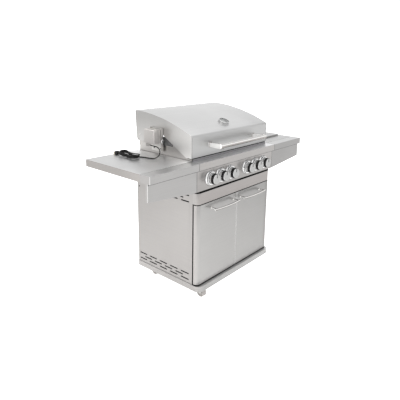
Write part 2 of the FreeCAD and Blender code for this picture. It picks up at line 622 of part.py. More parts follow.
def lid_handle():
    """A polished bar held at its ends by two cast arms that widen towards it."""
    y, z = HANDLE_Y, HANDLE_Z
    parts = [rod((-HANDLE_HALF, y, z), (HANDLE_HALF, y, z), HANDLE_R)]
    for s in (-1, 1):
        x = s * HANDLE_ARM_X
        parts.append(rod((x - 11, y, z), (x + 11, y, z), HANDLE_END_R))
        outline = [(LID_FRONT, z - 12), (LID_FRONT, z + 12), (y, z + 16.5), (y, z - 16.5)]
        parts.append(prism_x(outline, x - 10, x + 10))
        parts.append(box(x - 14, x + 14, LID_FRONT - 4, LID_FRONT, z - 16, z + 16))
    save("lid_handle", join(parts))


def gauge(on_top, centre):
    """A round thermometer whose face follows the slope of the lid."""
    seat = on_top(GAUGE_Y)
    normal = (seat - centre).normalize()
    turn = FreeCAD.Rotation(V(0, 0, 1), normal)

    def place(shape, lift):
        shape = shape.copy()
        shape.Placement = FreeCAD.Placement(seat + normal * lift, turn)
        return shape

    r, rim = GAUGE_R, GAUGE_DEPTH
    seating = 0.8
    flat = Part.makeCylinder(r, rim - 3, V(0, 0, 0))
    flare = Part.makeCone(r, r - 4, 3, V(0, 0, rim - 3))
    cup = Part.makeCylinder(r - 5, 20, V(0, 0, rim - 9))
    save("gauge_case", place(join([flat, flare]).cut(cup), seating))
    save("gauge_dial", place(Part.makeCylinder(r - 5.1, 1.2, V(0, 0, rim - 8.9)), seating))
    arm = join([Part.makeCylinder(3, 2.2, V(0, 0, rim - 7)), Part.makeBox(2, 30, 0.9, V(-1, -8, rim - 6.4))])
    save("gauge_needle", place(arm, seating))
    save("gauge_lens", place(Part.makeCylinder(r - 5.1, 1.5, V(0, 0, rim - 3.4)), seating))


# ---- hinges, fasteners, casters -----------------------------------------------------------
def hinge_pins():
    """Two lid pins and four door pins."""
    py, pz = LID_PIVOT
    pins = []
    for s in (-1, 1):
        pins.append(join([rod((s * 382, py, pz), (s * 397.5, py, pz), PIN_R),
                          rod((s * 396.5, py, pz), (s * 398.5, py, pz), 5.5)]))
        x, y = s * DOOR_PIVOT[0], DOOR_PIVOT[1]
        pins.append(rod((x, y, BASE_TOP - 4), (x, y, DOOR_BOTTOM + 11), PIN_R))
        pins.append(rod((x, y, DOOR_TOP - 11), (x, y, RAIL_BOTTOM + 4), PIN_R))
    save("hinge_pins", *pins)


def screw(x, y, z, side):
    """A low pan head standing on an X face."""
    return cone((x, y, z), (x + side * 2.2, y, z), 4.5, 3.2)


def screws():
    panel, lid = [], []
    for s in (-1, 1):
        face = s * (HALF_CABINET + 0.02)
        for z in (650, 715):
            panel.append(screw(face, 526, z, s))
        face = s * (LID_HALF + 0.02)
        for y, z in ((458, 1010), (505, 1008)):
            lid.append(screw(face, y, z, s))
    for y in (305, 363):
        panel.append(screw(BRACKET_X - 2.52, y, 940, -1))
    save("panel_screws", *panel)
    save("lid_screws", *lid)


def caster(number, x, y, heading):
    """One swivel fork and its wheel, drawn trailing to the right and then turned by its heading."""
    top = BASE_TOP - SHEET - 4
    wx, half = x + TRAIL, WHEEL_W / 2
    crown = [rod((x, y, top - 12), (x, y, top - 0.4), 24), rod((x, y, top - 6), (x, y, top + 6), 6)]
    roof = box(x - 20, wx + 20, y - half - 5, y + half + 5, top - 16, top - 12)
    outline = [(x - 18, top - 12), (wx + 18, top - 12), (wx + 8, WHEEL_R - 8), (wx - 8, WHEEL_R - 8)]
    legs = [prism_y(outline, y + s * (half + 2), y + s * (half + 5)) for s in (-1, 1)]
    axle = rod((wx, y - half - 6, WHEEL_R), (wx, y + half + 6, WHEEL_R), 4)
    tread = rod((wx, y - half, WHEEL_R), (wx, y + half, WHEEL_R), WHEEL_R)
    groove = [rod((wx, y + s * half, WHEEL_R), (wx, y + s * (half - 4), WHEEL_R), WHEEL_R - 8)
              for s in (-1, 1)]
    hub = rod((wx, y - half - 1, WHEEL_R), (wx, y + half + 1, WHEEL_R), 9)
    bore = rod((wx, y - half - 4, WHEEL_R), (wx, y + half + 4, WHEEL_R), 4 + PIN_PLAY)
    fork = join(crown + [roof] + legs + [axle])
    wheel = join([cut(tread, groove), hub]).cut(bore)
    for name, shape in (("fork", fork), ("wheel", wheel)):
        shape.rotate(V(x, y, 0), V(0, 0, 1), heading)
        save("caster_%s_%d" % (name, number), shape)


def casters():
    """The left pair trails to the front and the right pair to the back."""
    number = 0
    for y in CASTER_YS:
        for side in (-1, 1):
            number += 1
            caster(number, side * CASTER_X, y, side * 90)


# ---- rotisserie ---------------------------------------------------------------------------
def rotisserie():
    """Bracket on the left cheek, the motor in it, its switch, and the spit it turns."""
    x = BRACKET_X
    y0, y1 = MOTOR["y"][0] - 5, MOTOR["y"][1] + 7
    plate = box(x - 2.5, x, y0, y1, 922, 1069)
    flanges = [box(BRACKET_FLANGE, x, y0, y0 + 2.5, 925, 1069),
               box(BRACKET_FLANGE, x, y1 - 2.5, y1, 962, 1069)]
    feet = [rod((x, y, 940), (-FIRE_HALF, y, 940), 8) for y in (305, 363)]
    hole = rod((x - 5, SPIT_Y, SPIT_Z), (x + 5, SPIT_Y, SPIT_Z), 11)
    save("motor_bracket", cut(join([plate] + flanges + feet), [hole]))

    (mx0, mx1), (my0, my1), (mz0, mz1) = MOTOR["x"], MOTOR["y"], MOTOR["z"]
    case = box(mx0, mx1, my0, my1, mz0, mz1)
    upright = [e for e in case.Edges if abs(e.Vertexes[0].X - mx0) < 0.1
               and abs(e.Vertexes[1].X - mx0) < 0.1]
    case = case.makeFillet(4, upright)
    boss = rod((mx1, SPIT_Y, SPIT_Z + 8), (x - 2.6, SPIT_Y, SPIT_Z + 8), 24)
    socket = rod((x - 14, SPIT_Y, SPIT_Z), (x, SPIT_Y, SPIT_Z), 6)
    sx = (mx0 + mx1) / 2
    seat = box(sx - 8, sx + 8, my1 - 6, my1 + 1, 1022, 1044)
    save("motor_housing", cut(join([case, boss]), [socket, seat]))
    rocker = prism([(sx - 7, my1 + 2.5, 1023), (sx - 7, my1 + 0.5, 1033), (sx - 7, my1 + 2.5, 1043),
                    (sx - 7, my1 - 4, 1041), (sx - 7, my1 - 4, 1025)], (14, 0, 0))
    trunnion = rod((sx - 7.8, my1 - 2.5, 1033), (sx + 7.8, my1 - 2.5, 1033), 1.2)
    save("motor_switch", join([rocker, trunnion]))

    shaft = [rod((x - 13, SPIT_Y, SPIT_Z), (FIRE_HALF + 30, SPIT_Y, SPIT_Z), 4.5)]
    for s in (-1, 1):
        shaft.append(rod((s * (FIRE_HALF - 6), SPIT_Y, SPIT_Z), (s * (FIRE_HALF + 4), SPIT_Y, SPIT_Z), 8))
    grip_start, grip_end = FIRE_HALF + 16, COVER["x"][0] - 9
    shaft.append(rod((grip_start, SPIT_Y, SPIT_Z), (grip_end, SPIT_Y, SPIT_Z), 12))
    shaft.append(cone((grip_end, SPIT_Y, SPIT_Z), (grip_end + 5, SPIT_Y, SPIT_Z), 12, 8))
    save("spit_rod", join(shaft))
    forks = []
    for s in (-1, 1):
        at = s * 170
        hub = box(at - 9, at + 9, SPIT_Y - 11, SPIT_Y + 11, SPIT_Z - 11, SPIT_Z + 11)
        arm = box(at - 4, at + 4, SPIT_Y - 34, SPIT_Y + 34, SPIT_Z - 4, SPIT_Z + 4)
        prongs = []
        for k in (-1, 1):
            yy = SPIT_Y + k * 31
            prongs.append(rod((at, yy, SPIT_Z), (at - s * 78, yy, SPIT_Z), 3))
            prongs.append(cone((at - s * 78, yy, SPIT_Z), (at - s * 92, yy, SPIT_Z), 3, 0.6))
        bore = rod((at - 12, SPIT_Y, SPIT_Z), (at + 12, SPIT_Y, SPIT_Z), 4.5)
        thumb = rod((at, SPIT_Y, SPIT_Z + 11), (at, SPIT_Y, SPIT_Z + 24), 4)
        wing = box(at - 9, at + 9, SPIT_Y - 1.5, SPIT_Y + 1.5, SPIT_Z + 17, SPIT_Z + 27)
        forks.append(cut(join([hub, arm, thumb, wing] + prongs), [bore]))
    save("spit_forks", *forks)


def tangent_path(points):
    """Straight runs joined by arcs. Returns the wire, its length and each arc's radius."""
    pts = [V(*p) for p in points]
    edges, radii, length = [], [], 0.0
    last = pts[0]
    for before, here, after in zip(pts, pts[1:], pts[2:]):
        back, ahead = before - here, after - here
        shorter = min(back.Length, ahead.Length)
        half = back.getAngle(ahead) / 2
        reach = 0.45 * shorter
        radius = reach * math.tan(half)
        a = here + back.normalize() * reach
        b = here + ahead.normalize() * reach
        bisector = ((a - here) + (b - here)).normalize()
        top = here + bisector * (radius / math.sin(half) - radius)
        edges.append(Part.LineSegment(last, a).toShape())
        edges.append(Part.Arc(a, top, b).toShape())
        length += (a - last).Length + radius * (math.pi - 2 * half)
        radii.append(round(radius, 1))
        last = b
    edges.append(Part.LineSegment(last, pts[-1]).toShape())
    length += (pts[-1] - last).Length
    return Part.Wire(edges), length, radii


def power_cord():
    """Gland under the motor, the free stretch of cord, its tied hank and the plug."""
    sx, sy, sz = CORD_ROUTE[0]
    under = MOTOR["z"][0]
    start = V(*CORD_ROUTE[0])
    heading = (V(*CORD_ROUTE[1]) - start).normalize()
    block = box(sx - 8, sx + 8, sy + 14, sy + 34, sz - 8, under)
    nose = cone(start - heading * 18, start, 7, 4.6)
    save("cord_gland", join([block, nose]))

    path, length, radii = tangent_path(CORD_ROUTE)
    ring = Part.Wire([Part.Circle(start, heading, CORD_D / 2).toShape()])
    tube = path.makePipeShell([ring], True, True)
    section = math.pi * CORD_D ** 2 / 4
    print("cord radii", radii, "length", round(length, 1),
          "volume ratio", round(tube.Volume / (section * length), 4))

    (hx, hy), (w, d, h) = HANK_CENTRE, HANK_SIZE
    low = SHELF_TOP + 0.3
    hank = rounded_plan(hx - w / 2, hx + w / 2, hy - d / 2, hy + d / 2, low, low + h, 24, 24, 24)
    hank = hank.makeFillet(9, [e for e in hank.Edges if abs(e.BoundBox.ZMin - low - h) < 0.1])
    save("power_cord", tube.cut(hank))
    save("cord_hank", hank)
    plug(hx - 6, hy + d / 2, low + 12)


def plug(x, y, z):
    """The mains plug behind the hank: a tapered sleeve, a body, two flat blades and a round pin."""
    body = y + 14
    face = body + 26
    parts = [cone((x, y, z), (x, body, z), 4.4, 7), box(x - 12, x + 12, body, face, z - 11.5, z + 11.5)]
    for blade in (x - 7, x + 5.7):
        parts.append(box(blade, blade + 1.5, face, face + 17, z - 3, z + 3))
    parts.append(rod((x, face, z - 8), (x, face + 20, z - 8), 2.4))
    save("power_plug", join(parts))


base_tray()
for side in (-1, 1):
    side_panel(side)
    door(side)
    door_handle(side)
    fascia(side)
back_panel()
front_rail()
control_console()
left_shelf()
right_shelf()
side_burner()
firebox()
burners()
flame_tamers()
cooking_grates()
warming_rack()
gas_train()
grease_tray()
knobs()
top_line, top_centre = lid_shell()
lid_handle()
gauge(top_line, top_centre)
hinge_pins()
screws()
casters()
rotisserie()
power_cord()
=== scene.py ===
"""The looks of a stainless gas grill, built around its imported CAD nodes. Metres, Z up."""
import json
import math
import bmesh
import bpy
from mathutils import Matrix, Vector


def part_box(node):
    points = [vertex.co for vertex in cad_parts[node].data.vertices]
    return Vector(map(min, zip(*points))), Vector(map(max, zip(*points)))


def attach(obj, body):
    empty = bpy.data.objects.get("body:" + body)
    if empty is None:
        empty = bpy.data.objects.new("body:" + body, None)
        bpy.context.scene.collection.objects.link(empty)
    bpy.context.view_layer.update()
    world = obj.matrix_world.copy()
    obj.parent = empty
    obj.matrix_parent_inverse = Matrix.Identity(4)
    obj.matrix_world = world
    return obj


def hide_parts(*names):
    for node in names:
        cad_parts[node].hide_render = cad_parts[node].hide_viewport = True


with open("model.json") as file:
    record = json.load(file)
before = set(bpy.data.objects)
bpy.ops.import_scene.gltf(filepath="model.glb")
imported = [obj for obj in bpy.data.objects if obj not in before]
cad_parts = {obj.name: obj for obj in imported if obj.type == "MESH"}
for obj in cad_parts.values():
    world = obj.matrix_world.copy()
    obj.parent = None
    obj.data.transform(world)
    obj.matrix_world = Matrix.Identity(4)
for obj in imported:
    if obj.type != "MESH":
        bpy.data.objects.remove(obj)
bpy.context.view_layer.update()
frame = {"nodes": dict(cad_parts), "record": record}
nodes = frame["nodes"]

MM = 0.001

# ---- planes and places of the part's drawing, in millimetres --------------------------------
CABINET_HALF, CABINET_BACK, CORNER_R = 390.0, 548.0, 25.0
BASE_TOP, DOOR_LOW, DOOR_HIGH, RAIL_LOW, RAIL_HIGH = 106.0, 110.0, 634.0, 638.0, 708.0
PANEL_LOW, TRIM_LOW, WORKTOP, APRON_END = 723.0, 857.0, 900.0, 757.0
PANEL_FRONT, TRIM_FRONT, TRIM_BACK = -4.0, -23.0, 50.0
CONSOLE_HALF, SHELF_END = 404.0, 785.0
LID_HALF, LID_FRONT, LID_LOW, LID_FOLD = 396.0, 49.0, 916.0, 1050.0
KNOB_Z, GRIP_R = 789.0, 31.5
GRIP_BACK, CAP_BACK, POINTER_BACK = -36.5, -54.2, -57.7          # depths of a knob's colours
HANDLE_Y, HANDLE_Z, HANDLE_HALF = -39.0, 980.0, 240.0
DOOR_HANDLE_Z, DOOR_HANDLE_FEET = 592.0, (38.0, 262.0)
MOTOR_RIGHT, MOTOR_FRONT, MOTOR_BACK, MOTOR_TOP = -414.0, 289.0, 380.0, 1063.0
DIAL_FACE, NEEDLE_FACE = 10.15, 12.0                             # out from the needle joint
ORIGIN_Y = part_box("base_tray")[1].y - CABINET_BACK * MM
KNOBS, CASTERS = range(1, 7), range(1, 5)


def at(x, y, z):
    """A point of the part's drawing, in millimetres, as a point of the row frame."""
    return Vector((x * MM, y * MM + ORIGIN_Y, z * MM))


def middle(node):
    """The middle of a CAD node's box."""
    low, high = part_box(node)
    return (low + high) / 2


# ---- camera -------------------------------------------------------------------------------
CAMERA_AZIMUTH, CAMERA_ELEVATION, CAMERA_ROLL = -49.79, 12.93, 1.01
CAMERA_PLACE = (-2.1278, -1.7934, 1.4802)
CAMERA_LENS, CAMERA_SHIFT = 37.32, (-0.0223, -0.1115)


def make_camera():
    """The camera: from the front left and a little above."""
    azimuth, elevation = math.radians(CAMERA_AZIMUTH), math.radians(CAMERA_ELEVATION)
    back = Vector((math.sin(azimuth) * math.cos(elevation),
                   -math.cos(azimuth) * math.cos(elevation), math.sin(elevation)))
    data = bpy.data.cameras.new("camera")
    data.lens = CAMERA_LENS
    data.shift_x, data.shift_y = CAMERA_SHIFT
    camera = bpy.data.objects.new("camera", data)
    bpy.context.scene.collection.objects.link(camera)
    camera.location = CAMERA_PLACE
    roll = Matrix.Rotation(math.radians(CAMERA_ROLL), 3, "Z")
    camera.rotation_euler = ((-back).to_track_quat("-Z", "Y").to_matrix() @ roll).to_euler()
    bpy.context.scene.camera = camera


# ---- node trees ---------------------------------------------------------------------------
MIX_A, MIX_B, MIX_RESULT = 6, 7, 2          # a Mix node's colour sockets


class Finish:
    """A Principled material, with short calls for the nodes that feed it."""

    def __init__(self, name, color, metallic=0.0, roughness=0.5, **constants):
        self.material = bpy.data.materials.new(name)
        self.material.use_nodes = True
        self.tree = self.material.node_tree
        self.shader = self.tree.nodes["Principled BSDF"]
        self.color = color
        self.roughness = roughness
        self.shader.inputs["Base Color"].default_value = (*color, 1)
        self.shader.inputs["Metallic"].default_value = metallic
        self.shader.inputs["Roughness"].default_value = roughness
        for socket, value in constants.items():
            self.shader.inputs[socket.replace("_", " ")].default_value = value
        self.coords = self.add("ShaderNodeTexCoord")
        self.height = None

    def add(self, kind, inputs=(), **settings):
        """A new node with its settings, and with values or links put into its inputs."""
        node = self.tree.nodes.new(kind)
        for key, value in settings.items():
            setattr(node, key, value)
        for key, value in dict(inputs).items():
            self.put(value, node.inputs[key])
        return node

    def put(self, value, socket):
        """Link an output to a socket, or set the socket's own value."""
        if isinstance(value, bpy.types.NodeSocket):
            self.tree.links.new(value, socket)
        else:
            socket.default_value = value

    def put_color(self, value, socket):
        self.put(value if isinstance(value, bpy.types.NodeSocket) else (*value, 1), socket)

    def split(self, coordinate):
        """The X, Y and Z outputs of the object coordinates or of the normal."""
        return self.add("ShaderNodeSeparateXYZ", {"Vector": self.coords.outputs[coordinate]}).outputs

    def mapped(self, scale):
        return self.add("ShaderNodeMapping", {"Vector": self.coords.outputs["Object"],
                                              "Scale": scale}).outputs[0]

    def noise(self, scale, detail=3.0, distortion=0.0):
        """Noise from 0 to 1; scale is its waves per metre along each axis."""
        return self.add("ShaderNodeTexNoise", {"Vector": self.mapped(scale), "Scale": 1.0, "Detail": detail,
                                               "Distortion": distortion}).outputs["Fac"]

    def even_noise(self, scale, detail=3.0, distortion=0.0):
        """Noise with the same scale along every axis."""
        return self.noise((scale,) * 3, detail, distortion)

    def cells(self, scale, size):
        """Distance to the nearest cell's middle."""
        return self.add("ShaderNodeTexVoronoi", {"Vector": self.mapped(scale), "Scale": size},
                        feature="F1").outputs["Distance"]

    def span(self, value, low, high, to_low=0.0, to_high=1.0):
        """Map low..high of a value onto another range, clamped."""
        return self.add("ShaderNodeMapRange", {"Value": value, "From Min": low, "From Max": high,
                                               "To Min": to_low, "To Max": to_high}).outputs["Result"]

    def math(self, operation, a, b=0.0):
        """One step of arithmetic on values or outputs."""
        node = self.add("ShaderNodeMath", operation=operation)
        self.put(a, node.inputs[0])
        self.put(b, node.inputs[1])
        return node.outputs[0]

    def weighted(self, *parts):
        """The sum of values, each times its weight."""
        terms = [self.math("MULTIPLY", value, weight) for value, weight in parts]
        total = terms.pop()
        while terms:
            total = self.math("ADD", terms.pop(), total)
        return total

    def blend(self, share, a, b):
        """Colour a where share is 0 and b where it is 1."""
        node = self.add("ShaderNodeMix", data_type="RGBA")
        self.put(share, node.inputs["Factor"])
        self.put_color(a, node.inputs[MIX_A])
        self.put_color(b, node.inputs[MIX_B])
        return node.outputs[MIX_RESULT]

    def multiply(self, a, b):
        """Two colours multiplied."""
        node = self.add("ShaderNodeMix", data_type="RGBA", blend_type="MULTIPLY")
        node.inputs["Factor"].default_value = 1
        self.put_color(a, node.inputs[MIX_A])
        self.put_color(b, node.inputs[MIX_B])
        return node.outputs[MIX_RESULT]

    def ramp(self, value, stops):
        """A colour picked by a value from 0 to 1; stops: (place, colour)."""
        node = self.add("ShaderNodeValToRGB", {"Fac": value})
        set_stops(node.color_ramp.elements, stops)
        return node.outputs["Color"]

    def by_facing(self, up, side, front):
        """A colour mixed from three by the squares of the object normal's parts: painted light and shade by
        which way a face looks.
        """
        normal = self.split("Normal")
        level = self.math("POWER", self.math("ABSOLUTE", normal["Z"]), 2.0)
        across = self.math("POWER", self.math("ABSOLUTE", normal["X"]), 2.0)
        return self.blend(level, self.blend(across, front, side), up)

    def shades(self, share, dark, light):
        """The finish's colour, multiplied by dark where share is 0 and light where it is 1."""
        return self.blend(share, tuple(min(c * dark, 1) for c in self.color),
                          tuple(min(c * light, 1) for c in self.color))

    def set_color(self, value):
        self.put(value, self.shader.inputs["Base Color"])

    def vary_roughness(self, share, low, high):
        """Add low to high to the roughness as share goes over its usual range."""
        self.put(self.span(share, 0.25, 0.75, self.roughness + low, self.roughness + high),
                 self.shader.inputs["Roughness"])

    def bump(self, height, strength, distance):
        """Add one layer of bump; later layers ride on the earlier ones."""
        node = self.add("ShaderNodeBump", {"Height": height, "Strength": strength, "Distance": distance})
        if self.height is not None:
            self.put(self.height, node.inputs["Normal"])
        self.height = node.outputs["Normal"]
        self.put(self.height, self.shader.inputs["Normal"])


def set_stops(elements, stops):
    """Fill a colour ramp's elements with (place, colour) stops."""
    while len(elements) < len(stops):
        elements.new(0.5)
    for element, (place, color) in zip(elements, stops):
        element.position = place
        element.color = (*color, 1)


def grey(level):
    """A neutral colour."""
    return (level,) * 3


def brushed(name, up, side, front, roughness=0.32, grain="level", depth=0.05, painted_light_fades=()):
    """Brushed stainless sheet, whose tone depends on which way a face looks, up, sideways or forward: painted
    light and shade.
    grain: "level" runs round the upright faces, "x" or "y" along one axis.
    Each fade is (axis, from, to, tone, tone): a slow change of tone along an axis in metres, a painted
    gradient of light and shade."""
    f = Finish(name, front, 1.0, roughness)
    fine, coarse = 1500, 260
    along = {"level": (5, 5, fine), "x": (5, fine, fine), "y": (fine, 5, fine)}[grain]
    streaks = f.noise(along, 2)
    if grain == "level":
        flat = f.math("GREATER_THAN", f.math("ABSOLUTE", f.split("Normal")["Z"]), 0.5)
        streaks = f.add("ShaderNodeMix", {"Factor": flat, "A": streaks,
                                          "B": f.noise((5, fine, fine), 2)}).outputs[0]
    bands = f.noise((2, 2, coarse) if grain == "level" else tuple(a * coarse / fine for a in along), 3)
    clouds = f.even_noise(2.3, 2)
    smears = f.noise((9, 9, 5), 5, 0.6)
    grain_tone = f.weighted((streaks, 0.45), (bands, 0.2), (clouds, 0.35))
    shade = f.blend(f.span(grain_tone, 0.35, 0.65), grey(0.93), grey(1.05))
    # painted light and shade: each face's tone is picked by which way it looks
    tone = f.multiply(f.by_facing(up, side, front), shade)
    # each fade paints a gradient of light and shade along one axis
    for axis, start, end, first, last in painted_light_fades:
        place = f.split("Object")[axis]
        low, high = sorted(((start, first), (end, last)))
        level = f.span(place, low[0], high[0], low[1], high[1])
        color = f.add("ShaderNodeCombineXYZ", {"X": level, "Y": level, "Z": level}).outputs[0]
        tone = f.multiply(tone, color)
    f.set_color(tone)
    f.vary_roughness(f.weighted((streaks, 0.6), (smears, 0.4)), -0.06, 0.07)
    f.bump(streaks, depth, 0.0004)
    f.bump(clouds, 0.03, 0.01)
    return f


def polished(name, color, roughness=0.1, wear=0.05):
    """Polished or plated metal: faint polishing lines, fingerprints and a little haze."""
    f = Finish(name, color, 1.0, roughness)
    haze = f.even_noise(30, 5, 0.8)
    lines = f.noise((40, 900, 900), 2)
    f.set_color(f.shades(f.span(haze, 0.35, 0.7), 0.96, 1.03))
    f.vary_roughness(f.weighted((haze, 0.7), (lines, 0.3)), -0.03, wear)
    f.bump(lines, 0.02, 0.0002)
    return f


# Painted reflection bands of a handle tube: painted light, a painted highlight and painted shade, picked by
# how its face tilts.
TUBE_PAINTED_REFLECTIONS = ((0.0, (0.36, 0.34, 0.33)), (0.22, (0.17, 0.16, 0.15)), (0.42, (0.26, 0.24, 0.23)),
              (0.60, (0.42, 0.40, 0.385)), (0.68, (0.92, 0.92, 0.91)), (0.74, (0.92, 0.92, 0.91)),
              (0.82, (0.50, 0.49, 0.48)), (1.0, (0.56, 0.55, 0.54)))      # from its belly to its top


def tube(name):
    """Polished handle tube with painted reflections: painted light above, one painted highlight line and a
    warm grey belly of painted shade; the flat cheeks are painted bright, with less metal in them.
    """
    f = Finish(name, (0.9, 0.9, 0.9), 1.0, 0.16)
    normal = f.split("Normal")
    bands = f.ramp(f.span(normal["Z"], -1.0, 1.0), TUBE_PAINTED_REFLECTIONS)
    cheek = f.span(f.math("ABSOLUTE", normal["X"]), 0.75, 0.95)
    haze = f.even_noise(30, 5, 0.8)
    shade = f.blend(f.span(haze, 0.35, 0.7), grey(0.96), grey(1.03))
    # painted reflections by tilt, and bright painted cheeks
    f.set_color(f.multiply(f.blend(cheek, bands, (0.93, 0.925, 0.91)), shade))
    f.put(f.span(cheek, 0.0, 1.0, 1.0, 0.35), f.shader.inputs["Metallic"])
    f.vary_roughness(haze, -0.03, 0.06)
    f.bump(f.noise((40, 900, 900), 2), 0.02, 0.0002)
    return f


def galvanised(name, color):
    """Zinc-coated sheet with its spangle."""
    f = Finish(name, color, 0.95, 0.42)
    spangle = f.cells((1, 1, 1), 60)
    clouds = f.even_noise(4)
    f.set_color(f.shades(f.weighted((spangle, 0.6), (clouds, 0.5)), 0.84, 1.1))
    f.vary_roughness(spangle, -0.06, 0.1)
    f.bump(f.even_noise(160), 0.05, 0.0006)
    return f


def cast_iron(name, color):
    """Enamelled casting: pitted, semi-gloss, greyer in random rubbed patches."""
    f = Finish(name, color, 0.0, 0.42, Specular_IOR_Level=0.55)
    grit = f.even_noise(420, 4)
    rubbed = f.even_noise(14, 4)
    f.set_color(f.blend(f.span(rubbed, 0.5, 0.75), color, tuple(c * 2.3 + 0.015 for c in color)))
    f.vary_roughness(rubbed, -0.08, 0.16)
    f.bump(grit, 0.35, 0.0006)
    return f


def heated_steel(name, color):
    """Plain stainless near the flame: straw and blue temper colours over a satin sheet."""
    f = Finish(name, color, 1.0, 0.34)
    heat = f.noise((7, 3, 7), 3, 0.4)
    straw = f.blend(f.span(heat, 0.4, 0.56), color, (0.56, 0.46, 0.31))
    f.set_color(f.blend(f.span(heat, 0.56, 0.72), straw, (0.36, 0.38, 0.47)))
    f.vary_roughness(f.noise((300, 8, 300), 3), -0.06, 0.12)
    f.bump(f.noise((500, 20, 500), 2), 0.06, 0.0004)
    return f


def die_cast(name, color):
    """Cast or plated metal with a faintly mottled skin."""
    f = Finish(name, color, 0.9, 0.4)
    skin = f.even_noise(90, 5)
    f.set_color(f.shades(f.span(skin, 0.3, 0.7), 0.86, 1.08))
    f.vary_roughness(skin, -0.05, 0.1)
    f.bump(f.even_noise(700, 3), 0.1, 0.0004)
    return f


def ceramic(name, color):
    """Infrared burner tile: matt, with its grid of fine flame holes, coloured dark brown as painted shade in
    the holes.
    """
    f = Finish(name, color, 0.0, 0.85)
    holes = f.span(f.cells((1, 0.01, 1), 330), 0.12, 0.3)
    stain = f.even_noise(12, 4)
    f.set_color(f.blend(holes, (0.12, 0.09, 0.07), f.shades(stain, 0.85, 1.08)))
    f.bump(holes, 0.6, 0.001)
    return f


def plastic(name, color, roughness=0.45, grain=0.12, gloss=0.4):
    """Moulded plastic with a fine spark-eroded texture."""
    f = Finish(name, color, 0.0, roughness, Specular_IOR_Level=gloss)
    texture = f.even_noise(1400, 2)
    dust = f.even_noise(35, 4)
    f.set_color(f.blend(f.span(dust, 0.45, 0.8), color, tuple(c * 1.6 + 0.012 for c in color)))
    f.vary_roughness(dust, -0.05, 0.12)
    f.bump(texture, grain, 0.0003)
    return f


def rubber(name, color, roughness):
    """Flexible cord jacket or hard rubber tread, with fine dust and mould marks."""
    f = Finish(name, color, 0.0, roughness, Specular_IOR_Level=0.2)
    dust = f.even_noise(60, 5)
    fine = f.even_noise(900, 3)
    f.set_color(f.blend(f.span(dust, 0.5, 0.8), color, tuple(c * 1.8 + 0.015 for c in color)))
    f.vary_roughness(dust, -0.08, 0.15)
    f.bump(fine, 0.08, 0.0003)
    return f


def printed(name, color):
    """Printed enamel: almost even, with a faint orange peel and a little ageing."""
    f = Finish(name, color, 0.0, 0.35)
    age = f.even_noise(60)
    f.set_color(f.shades(age, 0.94, 1.03))
    f.vary_roughness(age, -0.04, 0.06)
    f.bump(f.even_noise(500, 2), 0.03, 0.0002)
    return f


def glass(name):
    """A thin clear lens with faint smears."""
    f = Finish(name, (0.97, 0.985, 0.98), 0.0, 0.03, Transmission_Weight=1.0, IOR=1.2)
    smear = f.even_noise(70, 4)
    f.vary_roughness(smear, -0.01, 0.05)
    f.bump(smear, 0.01, 0.0002)
    return f


def knob_finish(name):
    """Chrome skirt, black grip ring and satin cap, told apart by their depth in front of the panel."""
    # the satin cap's tones by facing are painted light and shade, as in the brushed sheet
    f = brushed(name, grey(0.62), grey(0.62), (0.36, 0.36, 0.355), 0.24, "y", 0.03)
    satin = f.shader.inputs["Base Color"].links[0].from_socket
    depth = f.split("Object")["Y"]
    behind_cap = f.math("GREATER_THAN", depth, at(0, CAP_BACK, 0).y)
    behind_grip = f.math("GREATER_THAN", depth, at(0, GRIP_BACK, 0).y)
    pointer = f.math("LESS_THAN", depth, at(0, POINTER_BACK, 0).y)
    grip = f.math("SUBTRACT", behind_cap, behind_grip)
    black = f.math("MAXIMUM", grip, pointer)
    f.set_color(f.blend(black, f.blend(behind_grip, satin, grey(0.82)), grey(0.006)))
    f.put(f.math("SUBTRACT", 1.0, black), f.shader.inputs["Metallic"])
    f.shader.inputs["Specular IOR Level"].default_value = 0.15
    return f
